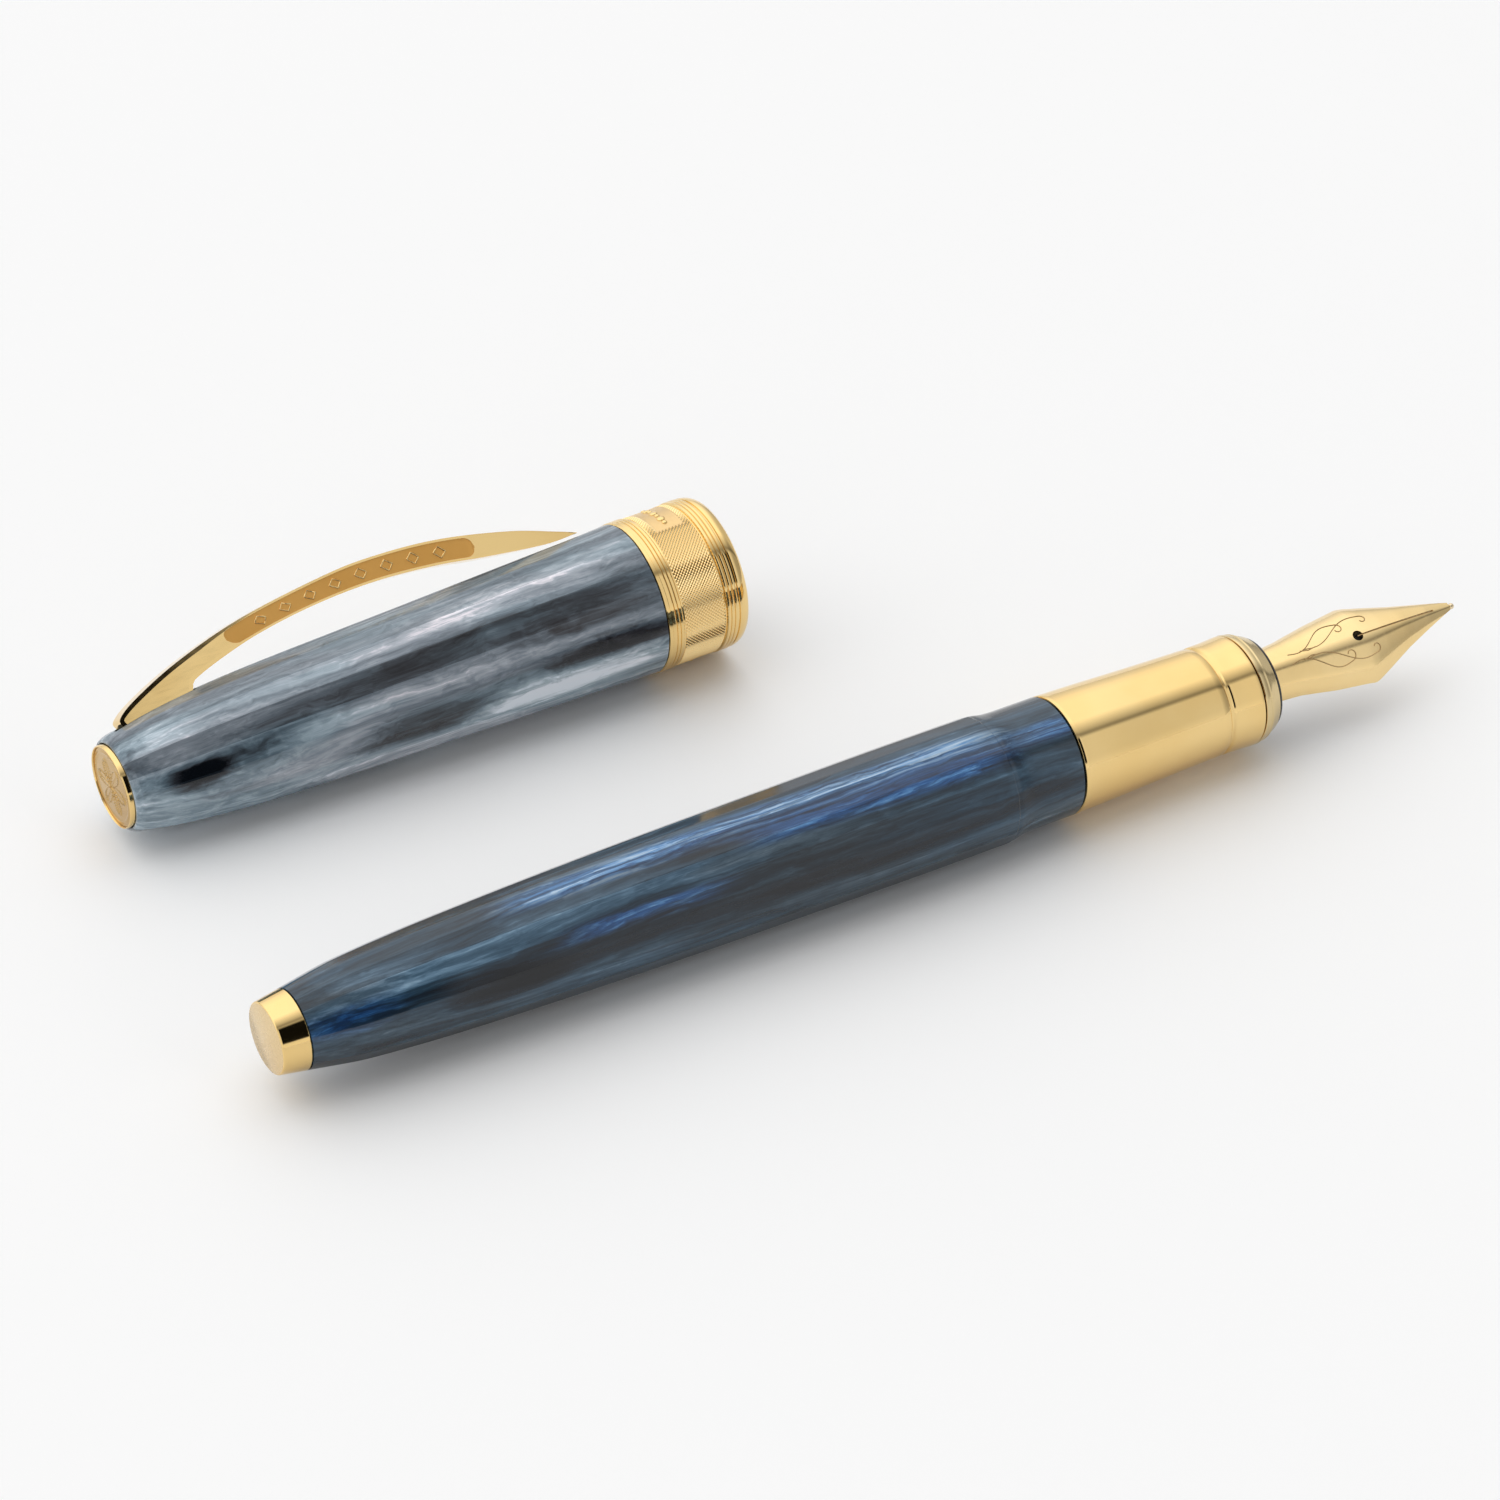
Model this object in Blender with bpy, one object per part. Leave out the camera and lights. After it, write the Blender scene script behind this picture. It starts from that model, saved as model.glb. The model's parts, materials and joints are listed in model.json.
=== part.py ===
"""A fountain pen lying uncapped, with its cap beside it.

Lengths are written in millimetres and scaled by MM. The pen and the cap are each modelled along +X
from their own end face: the pen from the tail, the cap from the finial. Parent empties place them on
the ground plane, and the whole set is centred over the world origin.
"""

import math

import bmesh
import bpy
from mathutils import Euler, Matrix, Vector

MM = 0.001

# Pen stations, from the tail face
FERRULE_END = 2.7
STEP_X = 76.3
NECK_END = 84.0
GRIP_START = 84.15
GRIP_END = 105.0
LIP_END = 107.2
COLLAR_END = 107.8
NIB_TIP = 130.5

# Pen radii
TAIL_R = 3.5
FERRULE_R = 3.92
BARREL_R = 6.4
NECK_R = 5.96
CAVITY_R = 4.5
SLEEVE_SEAT_R = 5.35
SPIGOT_R = 4.65
SPIGOT_BORE_R = 4.0
LINER_BORE_R = 3.5
HOUSING_R = 3.35
COLLAR_R = 4.7
NIPPLE_R = 1.35

# Cap stations, from the finial face
BEZEL_END = 1.0
CROWN_FLOOR = 9.5
BAND_START = 56.7
CAP_LENGTH = 65.9
CAP_R = 7.72
CAP_BORE_R = 6.1
MAGNET_START = 33.0
MAGNET_END = 35.4
LINER_START = 37.5

# Facets: flats all round, one of them flat to the ground
FACETS = 18
SIDES = 2 * FACETS
FLAT = math.cos(math.pi / FACETS)

# Nib
NIB_ROLL = math.radians(27.0)
NIB_SHEET = 0.35
SLIT_WIDTH = 0.14
BREATHER_X = 118.6
BREATHER_R = 0.55
TIPPING_R = 0.3

# Clip
CLIP_ROLL = math.radians(-40.0)
CLIP_HALF_THICKNESS = 1.2
CLIP_PIVOT = (6.2, 1.6)
CLIP_PIN_R = 0.6
SLOT_START = 1.95
SLOT_END = 11.0
SLOT_HALF_WIDTH = 1.4

# How the pieces lie
CAP_OFFSET = (4.2, 40.5)
CAP_PITCH = math.radians(1.7)
CAP_REST_STATION = (BAND_START + 0.15, 7.78)

COLOURS = {
    "slate_resin": ((0.07, 0.11, 0.17, 1.0), 0.18, 0.0),
    "silver_resin": ((0.32, 0.38, 0.44, 1.0), 0.18, 0.0),
    "gold": ((0.86, 0.62, 0.27, 1.0), 0.16, 1.0),
    "pale_gold": ((0.72, 0.66, 0.45, 1.0), 0.2, 1.0),
    "satin_gold": ((0.82, 0.60, 0.28, 1.0), 0.35, 1.0),
    "steel": ((0.62, 0.62, 0.63, 1.0), 0.3, 1.0),
    "magnet": ((0.30, 0.30, 0.31, 1.0), 0.35, 1.0),
    "black_plastic": ((0.012, 0.012, 0.013, 1.0), 0.35, 0.0),
    "clear_plastic": ((0.80, 0.84, 0.86, 1.0), 0.1, 0.0),
    "rubber": ((0.02, 0.02, 0.02, 1.0), 0.6, 0.0),
}


def clear_scene():
    for obj in list(bpy.data.objects):
        bpy.data.objects.remove(obj, do_unlink=True)


def material(name):
    found = bpy.data.materials.get(name)
    if found:
        return found
    colour, roughness, metallic = COLOURS[name]
    made = bpy.data.materials.new(name)
    made.use_nodes = True
    shader = made.node_tree.nodes["Principled BSDF"]
    shader.inputs["Base Color"].default_value = colour
    shader.inputs["Roughness"].default_value = roughness
    shader.inputs["Metallic"].default_value = metallic
    made.diffuse_color = colour
    return made


def empty(name, parent=None, location=(0, 0, 0), rotation=(0, 0, 0)):
    obj = bpy.data.objects.new(name, None)
    bpy.context.collection.objects.link(obj)
    obj.parent = parent
    obj.location = Vector(location) * MM
    obj.rotation_euler = Euler(rotation)
    return obj


def solid(name, bm, parent, material_name, smooth=True):
    """Turns a bmesh in millimetres into one named object."""
    bmesh.ops.scale(bm, vec=(MM, MM, MM), verts=bm.verts)
    bmesh.ops.recalc_face_normals(bm, faces=bm.faces)
    mesh = bpy.data.meshes.new(name)
    bm.to_mesh(mesh)
    bm.free()
    if smooth:
        mesh.shade_smooth()
        mesh.set_sharp_from_angle(angle=math.radians(25))
    mesh.materials.append(material(material_name))
    obj = bpy.data.objects.new(name, mesh)
    bpy.context.collection.objects.link(obj)
    obj.parent = parent
    return obj


def cutter(name, bm, parent):
    obj = solid(name, bm, parent, "steel", smooth=False)
    obj.hide_render = True
    obj.display_type = "WIRE"
    return obj


def cut(target, tool):
    modifier = target.modifiers.new("cut_" + tool.name, "BOOLEAN")
    modifier.operation = "DIFFERENCE"
    modifier.solver = "EXACT"
    modifier.object = tool


def ring(bm, x, radius, facet, sides):
    """A ring of vertices about X. facet runs from 0, round, to 1, flats between alternate corners."""
    verts = []
    for k in range(sides):
        angle = -math.pi / 2 + 2 * math.pi * k / sides
        inset = 1.0 - facet * (1.0 - FLAT) if k % 2 == 0 else 1.0
        y = radius * inset * math.cos(angle)
        z = radius * inset * math.sin(angle)
        verts.append(bm.verts.new((x, y, z)))
    return verts


def join_rings(bm, first, second):
    """Faces between two neighbours of a turned outline; a single vertex is a point on the axis."""
    if len(first) == 1 and len(second) == 1:
        return
    count = max(len(first), len(second))
    for k in range(count):
        n = (k + 1) % count
        corners = [first[k % len(first)]]
        if len(first) > 1:
            corners.append(first[n])
        if len(second) > 1:
            corners.append(second[n])
        corners.append(second[k % len(second)])
        bm.faces.new(corners)


def turned(name, outline, parent, material_name, sides=SIDES):
    """A solid of revolution about X through a closed outline of (x, radius[, facet]) points."""
    bm = bmesh.new()
    rings = []
    for point in outline:
        x, radius = point[:2]
        facet = point[2] if len(point) > 2 else 0.0
        if radius > 0:
            rings.append(ring(bm, x, radius, facet, sides))
        else:
            rings.append([bm.verts.new((x, 0, 0))])
    for index, first in enumerate(rings):
        join_rings(bm, first, rings[(index + 1) % len(rings)])
    return solid(name, bm, parent, material_name)


def box(bm, low, high):
    made = bmesh.ops.create_cube(bm, size=1.0)
    centre = [(a + b) / 2 for a, b in zip(low, high)]
    size = [b - a for a, b in zip(low, high)]
    matrix = Matrix.Translation(centre) @ Matrix.Diagonal((*size, 1.0))
    bmesh.ops.transform(bm, matrix=matrix, verts=made["verts"])


def rod(bm, centre, radius, length, axis, sides=16):
    """A plain cylinder along Y or Z."""
    turn = Matrix.Rotation(math.pi / 2, 4, "X") if axis == "Y" else Matrix()
    bmesh.ops.create_cone(
        bm,
        cap_ends=True,
        segments=sides,
        radius1=radius,
        radius2=radius,
        depth=length,
        matrix=Matrix.Translation(centre) @ turn,
    )


def lofted(name, sections, parent, material_name):
    """A solid through equal-length closed sections, with its two ends filled."""
    bm = bmesh.new()
    rows = [[bm.verts.new(point) for point in section] for section in sections]
    for first, second in zip(rows, rows[1:]):
        join_rings(bm, first, second)
    bm.faces.new(rows[0])
    bm.faces.new(rows[-1])
    return solid(name, bm, parent, material_name)


def smooth_through(points, steps):
    """Points on a Catmull-Rom curve through the given ones, steps to each span."""
    path = [2 * Vector(points[0]) - Vector(points[1])]
    path += [Vector(p) for p in points]
    path.append(2 * path[-1] - path[-2])
    found = []
    for i in range(1, len(path) - 2):
        a, b, c, d = path[i - 1 : i + 3]
        for k in range(steps):
            t = k / steps
            found.append(
                0.5
                * (
                    2 * b
                    + (c - a) * t
                    + (2 * a - 5 * b + 4 * c - d) * t**2
                    + (3 * b - a - 3 * c + d) * t**3
                )
            )
    found.append(path[-2])
    return [tuple(p) for p in found]


def read_off(table, x):
    """The value at x of a table of (x, value) rows, in straight lines between rows."""
    for low, high in zip(table, table[1:]):
        if x <= high[0]:
            t = max(0.0, (x - low[0]) / (high[0] - low[0]))
            return low[1] + (high[1] - low[1]) * t
    return table[-1][1]


# ---------------------------------------------------------------- barrel


def make_barrel(pen):
    turned(
        "barrel_shell",
        [
            (FERRULE_END + 0.08, 3.95, 0.3),
            (4.6, 4.28, 0.8),
            (7.6, 4.76, 1.0),
            (10.7, 5.05, 1.0),
            (15.4, 5.36, 1.0),
            (20.0, 5.57, 1.0),
            (26.0, 5.79, 1.0),
            (33.0, 5.98, 1.0),
            (42.0, 6.15, 1.0),
            (54.0, 6.29, 1.0),
            (65.0, BARREL_R, 1.0),
            (STEP_X, BARREL_R, 1.0),
            (STEP_X + 0.7, BARREL_R - 0.1, 0.3),
            (STEP_X + 1.9, NECK_R + 0.08),
            (STEP_X + 3.0, NECK_R),
            (NECK_END, NECK_R),
            (NECK_END, SLEEVE_SEAT_R),
            (72.6, SLEEVE_SEAT_R),
            (72.6, CAVITY_R),
            (15.0, CAVITY_R),
            (13.0, 3.6),
            (10.0, 3.6),
            (10.0, 1.35),
            (FERRULE_END + 0.08, 1.35),
        ],
        pen,
        "slate_resin",
    )
    turned(
        "barrel_thread_sleeve",
        [(72.8, 5.25), (83.8, 5.25), (83.8, 4.8), (72.8, 4.8)],
        pen,
        "steel",
    )
    turned(
        "tail_ferrule",
        [
            (0.0, 0.0),
            (0.0, TAIL_R - 0.12),
            (0.12, TAIL_R),
            (FERRULE_END, FERRULE_R),
            (FERRULE_END, 1.5),
            (1.0, 1.5),
            (1.0, 0.0),
        ],
        pen,
        "gold",
    )
    turned(
        "tail_stud",
        [(1.2, 0.0), (1.2, 1.2), (10.1, 1.2), (10.1, 3.0), (11.2, 3.0), (11.2, 0.0)],
        pen,
        "steel",
        sides=24,
    )


# ---------------------------------------------------------------- section


def make_section(pen):
    turned(
        "section_shell",
        [
            (GRIP_START, NECK_R - 0.08),
            (GRIP_START + 0.15, NECK_R),
            (88.5, 5.85),
            (93.0, 5.68),
            (97.0, 5.55),
            (101.1, 5.44),
            (101.25, 5.34),
            (101.5, 5.34),
            (101.65, 5.46),
            (103.4, 5.5),
            (GRIP_END, 5.58),
            (GRIP_END, 3.65),
            (104.2, 3.65),
            (104.2, 4.85),
            (85.0, 4.85),
            (85.0, 5.3),
            (GRIP_START, 5.3),
        ],
        pen,
        "gold",
    )
    turned(
        "section_thread",
        [(75.0, SPIGOT_R), (88.0, SPIGOT_R), (88.0, SPIGOT_BORE_R), (75.0, SPIGOT_BORE_R)],
        pen,
        "steel",
    )
    turned(
        "section_liner",
        [(88.2, 4.72), (104.05, 4.72), (104.05, LINER_BORE_R), (88.2, LINER_BORE_R)],
        pen,
        "black_plastic",
    )
    turned(
        "section_o_ring",
        [
            (84.25, 4.85),
            (84.25, 5.08),
            (84.45, 5.22),
            (84.7, 5.22),
            (84.9, 5.08),
            (84.9, 4.85),
            (84.7, 4.75),
            (84.45, 4.75),
        ],
        pen,
        "rubber",
    )
    turned(
        "lip_ring",
        [
            (GRIP_END + 0.1, 5.48),
            (GRIP_END + 0.25, 5.58),
            (106.1, 5.4),
            (106.3, 5.25),
            (LIP_END, 4.9),
            (LIP_END, 3.65),
            (GRIP_END + 0.1, 3.65),
        ],
        pen,
        "pale_gold",
    )


# ---------------------------------------------------------------- nib unit

# (station, half width, radius of the arched section, height of its top above the axis)
NIB_SECTIONS = [
    (98.0, 2.84, 2.9, 2.9),
    (COLLAR_END + 0.4, 2.84, 2.9, 2.9),
    (111.0, 3.08, 3.25, 2.89),
    (115.0, 3.75, 4.1, 2.88),
    (118.0, 4.26, 4.8, 2.87),
    (119.0, 4.2, 4.7, 2.86),
    (121.0, 3.48, 3.9, 2.82),
    (124.0, 2.42, 2.75, 2.7),
    (127.0, 1.35, 1.65, 2.46),
    (NIB_TIP - 0.65, 0.4, 0.8, 2.12),
]
NIB_ARC_STEPS = 10


def nib_section(x, half_width, arc_radius, top):
    """The closed outline across the nib: the outer arc one way, the inner arc back."""
    spread = math.asin(min(1.0, half_width / arc_radius))
    centre = top - arc_radius
    outline = []
    for radius, sign in ((arc_radius, 1), (arc_radius - NIB_SHEET, -1)):
        for k in range(NIB_ARC_STEPS + 1):
            angle = sign * spread * (2 * k / NIB_ARC_STEPS - 1)
            outline.append((x, radius * math.sin(angle), centre + radius * math.cos(angle)))
    return outline


def make_nib(pen):
    nib_frame = empty("nib_frame", pen, rotation=(NIB_ROLL, 0, 0))
    nib = lofted("nib", [nib_section(*row) for row in NIB_SECTIONS], nib_frame, "gold")

    bm = bmesh.new()
    rod(bm, (BREATHER_X, 0, 2.8), BREATHER_R, 3.0, "Z")
    cut(nib, cutter("breather_cutter", bm, nib_frame))
    bm = bmesh.new()
    box(bm, (BREATHER_X, -SLIT_WIDTH / 2, 1.0), (NIB_TIP, SLIT_WIDTH / 2, 3.4))
    cut(nib, cutter("slit_cutter", bm, nib_frame))

    bm = bmesh.new()
    bmesh.ops.create_uvsphere(bm, u_segments=12, v_segments=8, radius=TIPPING_R)
    bmesh.ops.translate(bm, vec=(NIB_TIP - TIPPING_R, 0, 1.8), verts=bm.verts)
    solid("nib_tipping", bm, nib_frame, "steel")

    turned(
        "nib_housing",
        [
            (86.2, NIPPLE_R),
            (92.0, NIPPLE_R),
            (92.0, HOUSING_R),
            (LIP_END + 0.08, HOUSING_R),
            (LIP_END + 0.08, COLLAR_R),
            (COLLAR_END, COLLAR_R - 0.1),
            (COLLAR_END, 3.0),
            (94.0, 3.0),
            (94.0, 0.45),
            (86.2, 0.45),
        ],
        pen,
        "black_plastic",
    )
    make_feed(nib_frame)


# (station, half width, half height, height of the centre)
FEED_SECTIONS = [
    (95.0, 2.4, 2.4, 0.0),
    (109.0, 2.4, 2.4, 0.0),
    (113.0, 2.25, 2.05, 0.22),
    (117.0, 1.9, 1.6, 0.55),
    (120.5, 1.4, 1.05, 1.0),
    (123.5, 0.75, 0.5, 1.35),
]
FEED_SIDES = 20
FEED_FINS = 8
FEED_FIN_PITCH = 0.95
FEED_FIN_GAP = 0.4


def make_feed(nib_frame):
    sections = []
    for x, half_width, half_height, centre in FEED_SECTIONS:
        section = []
        for k in range(FEED_SIDES):
            angle = 2 * math.pi * k / FEED_SIDES
            section.append((x, half_width * math.cos(angle), centre + half_height * math.sin(angle)))
        sections.append(section)
    feed = lofted("feed", sections, nib_frame, "black_plastic")
    bm = bmesh.new()
    for k in range(FEED_FINS):
        x = 109.6 + k * FEED_FIN_PITCH
        box(bm, (x, -3.0, -3.0), (x + FEED_FIN_GAP, 3.0, -0.2 + 0.1 * k))
    cut(feed, cutter("fin_cutter", bm, nib_frame))


# ---------------------------------------------------------------- converter


def make_converter(pen):
    turned(
        "converter_tube",
        [(45.0, 3.32), (84.0, 3.32), (84.0, 2.65), (45.0, 2.65)],
        pen,
        "clear_plastic",
        sides=24,
    )
    turned(
        "converter_socket",
        [
            (82.0, 3.7),
            (87.9, 3.7),
            (88.3, 3.3),
            (91.8, 3.3),
            (91.8, 1.45),
            (84.15, 1.45),
            (84.15, 3.42),
            (82.0, 3.42),
        ],
        pen,
        "black_plastic",
        sides=24,
    )
    turned(
        "converter_sleeve",
        [(30.0, 3.75), (48.0, 3.75), (48.0, 3.42), (31.0, 3.42), (31.0, 3.08), (30.0, 3.08)],
        pen,
        "gold",
        sides=24,
    )
    turned(
        "converter_knob",
        [
            (18.0, 0.0),
            (18.0, 2.9),
            (18.4, 3.25),
            (28.8, 3.25),
            (28.8, 2.95),
            (43.9, 2.95),
            (43.9, 1.45),
            (41.0, 1.45),
            (41.0, 1.75),
            (19.0, 1.75),
            (19.0, 0.0),
        ],
        pen,
        "black_plastic",
        sides=24,
    )
    turned(
        "piston_rod",
        [(19.6, 0.0), (19.6, 1.3), (46.9, 1.3), (46.9, 0.0)],
        pen,
        "steel",
        sides=20,
    )
    turned(
        "piston_head",
        [
            (47.0, 0.0),
            (47.0, 2.3),
            (47.4, 2.55),
            (48.2, 2.55),
            (48.5, 2.2),
            (50.5, 2.2),
            (50.8, 2.55),
            (51.6, 2.55),
            (52.0, 2.2),
            (52.4, 0.0),
        ],
        pen,
        "rubber",
        sides=24,
    )
    bm = bmesh.new()
    bmesh.ops.create_uvsphere(bm, u_segments=12, v_segments=8, radius=0.9)
    bmesh.ops.translate(bm, vec=(81.0, 0, -1.65), verts=bm.verts)
    solid("agitator_ball", bm, pen, "steel")


# ---------------------------------------------------------------- cap


def make_cap_body(cap):
    shell = turned(
        "cap_shell",
        [
            (0.55, 4.5, 0.0),
            (1.3, 4.86, 0.3),
            (3.9, 5.42, 1.0),
            (6.35, 5.79, 1.0),
            (9.0, 6.08, 1.0),
            (12.9, 6.4, 1.0),
            (18.0, 6.65, 1.0),
            (25.9, 6.88, 1.0),
            (35.2, 7.14, 1.0),
            (44.6, 7.42, 1.0),
            (51.0, 7.58, 0.9),
            (BAND_START - 0.08, CAP_R, 0.2),
            (BAND_START - 0.08, 7.0),
            (64.4, 7.0),
            (64.4, 6.55),
            (LINER_START - 0.2, 6.55),
            (LINER_START - 0.2, 5.95),
            (MAGNET_START - 0.2, 5.95),
            (MAGNET_START - 0.2, 5.2),
            (20.0, 5.2),
            (14.0, 4.4),
            (CROWN_FLOOR, 3.5),
            (CROWN_FLOOR, 3.0),
            (BEZEL_END + 0.1, 3.0),
            (BEZEL_END + 0.1, 4.3),
            (0.55, 4.3),
        ],
        cap,
        "silver_resin",
    )
    turned(
        "cap_band",
        [
            (BAND_START, 7.6),
            (BAND_START + 0.15, 7.78),
            (58.3, 7.8),
            (58.5, 7.68),
            (63.2, 7.68),
            (63.4, 7.8),
            (65.2, 7.7),
            (CAP_LENGTH, 7.3),
            (CAP_LENGTH, 6.15),
            (65.1, 6.15),
            (65.1, 7.08),
            (BAND_START, 7.08),
        ],
        cap,
        "gold",
    )
    turned(
        "cap_liner",
        [(LINER_START, 6.45), (65.0, 6.45), (65.0, CAP_BORE_R), (LINER_START, CAP_BORE_R)],
        cap,
        "steel",
    )
    turned(
        "cap_magnet_ring",
        [(MAGNET_START, 5.85), (MAGNET_END, 5.85), (MAGNET_END, 5.0), (MAGNET_START, 5.0)],
        cap,
        "magnet",
    )
    turned(
        "inner_cap",
        [
            (10.0, 0.0),
            (10.0, 3.2),
            (14.0, 4.2),
            (20.0, 5.05),
            (32.9, 5.05),
            (32.9, 4.75),
            (20.0, 4.7),
            (14.0, 3.85),
            (10.6, 2.85),
            (10.6, 0.0),
        ],
        cap,
        "black_plastic",
    )
    return shell


def make_finial(cap):
    turned(
        "finial_bezel",
        [
            (0.0, 3.9),
            (0.12, 4.12),
            (0.9, 4.2),
            (BEZEL_END, 4.2),
            (BEZEL_END, 3.78),
            (0.15, 3.78),
        ],
        cap,
        "gold",
    )
    turned(
        "finial_medallion",
        [(0.02, 0.0), (0.1, 2.0), (0.3, 3.5), (0.4, 3.7), (0.95, 3.7), (0.95, 0.0)],
        cap,
        "satin_gold",
    )
    turned(
        "finial_magnet",
        [(1.2, 0.0), (1.2, 2.5), (2.5, 2.5), (2.5, 0.0)],
        cap,
        "magnet",
        sides=24,
    )


# The clip's outer edge and the lower edge of its blade, as (station, distance from the cap's axis)
CLIP_OUTER = [
    (2.7, 5.7),
    (5.1, 7.15),
    (10.3, 9.15),
    (17.5, 10.98),
    (26.5, 12.15),
    (32.0, 12.38),
    (39.0, 11.85),
    (46.5, 10.3),
    (51.3, 8.75),
    (53.6, 7.92),
]
CLIP_LOWER = [
    (52.8, 7.8),
    (50.0, 7.85),
    (47.0, 8.1),
    (43.5, 8.65),
    (38.0, 9.5),
    (31.5, 10.0),
    (25.0, 9.8),
    (19.0, 9.05),
    (14.5, 8.0),
    (11.1, 6.85),
    (10.6, 6.2),
]
CLIP_ROOT = [
    (10.4, 5.0),
    (8.6, 3.2),
    (7.3, 1.2),
    (6.2, 0.75),
    (5.1, 1.2),
    (4.6, 2.6),
    (3.4, 4.0),
    (2.9, 4.9),
]


# Half the clip's thickness along its length
CLIP_TAPER = [(0.0, CLIP_HALF_THICKNESS), (42.0, CLIP_HALF_THICKNESS), (53.0, 0.45)]


def make_clip(crown):
    outline = smooth_through(CLIP_OUTER, 2) + smooth_through(CLIP_LOWER, 2) + CLIP_ROOT
    pivot_x, pivot_z = CLIP_PIVOT
    bm = bmesh.new()
    sides = []
    for sign in (-1, 1):
        side = []
        for station, height in outline:
            across = sign * read_off(CLIP_TAPER, station)
            side.append(bm.verts.new((station - pivot_x, across, height - pivot_z)))
        sides.append(side)
    join_rings(bm, sides[0], sides[1])
    caps = [bm.faces.new(side) for side in sides]
    bmesh.ops.triangulate(bm, faces=caps, ngon_method="EAR_CLIP")
    clip = solid("clip", bm, crown, "satin_gold")
    clip.location = (pivot_x * MM, 0, pivot_z * MM)

    bm = bmesh.new()
    rod(bm, (pivot_x, 0, pivot_z), CLIP_PIN_R + 0.08, 6.0, "Y")
    pin_hole = cutter("pin_hole_cutter", bm, crown)
    cut(clip, pin_hole)
    return pin_hole


def make_clip_mount(crown, pin_hole, shell):
    pivot_x, pivot_z = CLIP_PIVOT
    mount = turned(
        "clip_mount",
        [(2.9, 0.0), (2.9, 2.85), (9.3, 2.85), (9.3, 0.0)],
        crown,
        "steel",
        sides=24,
    )
    bm = bmesh.new()
    box(bm, (3.5, -SLOT_HALF_WIDTH, -0.6), (10.0, SLOT_HALF_WIDTH, 4.0))
    cut(mount, cutter("mount_slot_cutter", bm, crown))
    cut(mount, pin_hole)

    bm = bmesh.new()
    rod(bm, (pivot_x, 0, pivot_z), CLIP_PIN_R, 4.2, "Y")
    solid("clip_pin", bm, crown, "steel")

    spring = [(3.8, -0.42), (5.4, 0.12), (6.6, 0.14), (8.8, -0.42)]
    spring = smooth_through(spring, 2)
    lofted(
        "clip_spring",
        [
            [(s, -1.0, z), (s, 1.0, z), (s, 1.0, z + 0.2), (s, -1.0, z + 0.2)]
            for s, z in spring
        ],
        crown,
        "steel",
    )

    bm = bmesh.new()
    box(bm, (SLOT_START, -SLOT_HALF_WIDTH, 2.2), (SLOT_END, SLOT_HALF_WIDTH, 9.0))
    cut(shell, cutter("clip_slot_cutter", bm, crown))


def make_cap(cap):
    shell = make_cap_body(cap)
    make_finial(cap)
    crown = empty("crown_frame", cap, rotation=(CLIP_ROLL, 0, 0))
    pin_hole = make_clip(crown)
    make_clip_mount(crown, pin_hole, shell)


# ---------------------------------------------------------------- placing


def visible_bounds():
    """The lowest and highest corner of everything but the cutters."""
    bpy.context.view_layer.update()
    graph = bpy.context.evaluated_depsgraph_get()
    low = Vector((math.inf,) * 3)
    high = -low
    for obj in bpy.data.objects:
        if obj.type != "MESH" or obj.hide_render:
            continue
        evaluated = obj.evaluated_get(graph)
        mesh = evaluated.to_mesh()
        for vertex in mesh.vertices:
            place = evaluated.matrix_world @ vertex.co
            low = Vector(map(min, low, place))
            high = Vector(map(max, high, place))
        evaluated.to_mesh_clear()
    return low, high


def main():
    clear_scene()
    whole = empty("pen_and_cap")
    pen = empty("pen_frame", whole, location=(0, 0, BARREL_R * FLAT))
    rest_station, rest_radius = CAP_REST_STATION
    cap_height = rest_radius * math.cos(CAP_PITCH) - rest_station * math.sin(CAP_PITCH)
    cap_place = (*CAP_OFFSET, cap_height)
    cap = empty("cap_frame", whole, location=cap_place, rotation=(0, -CAP_PITCH, 0))
    make_barrel(pen)
    make_section(pen)
    make_nib(pen)
    make_converter(pen)
    make_cap(cap)
    low, high = visible_bounds()
    whole.location = (-(low.x + high.x) / 2, -(low.y + high.y) / 2, -low.z)


main()
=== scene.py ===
"""The look of an uncapped fountain pen and its cap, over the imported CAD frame.

Lengths are in millimetres and scaled by MM. The pen's pieces are modelled along +X from the tail face,
the cap's pieces along +X from the finial face, and the clip's in the crown, where +Z points out
through the clip.
"""

import json
import math

import bmesh
import bpy
import numpy as np
from mathutils import Matrix, Vector


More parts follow.
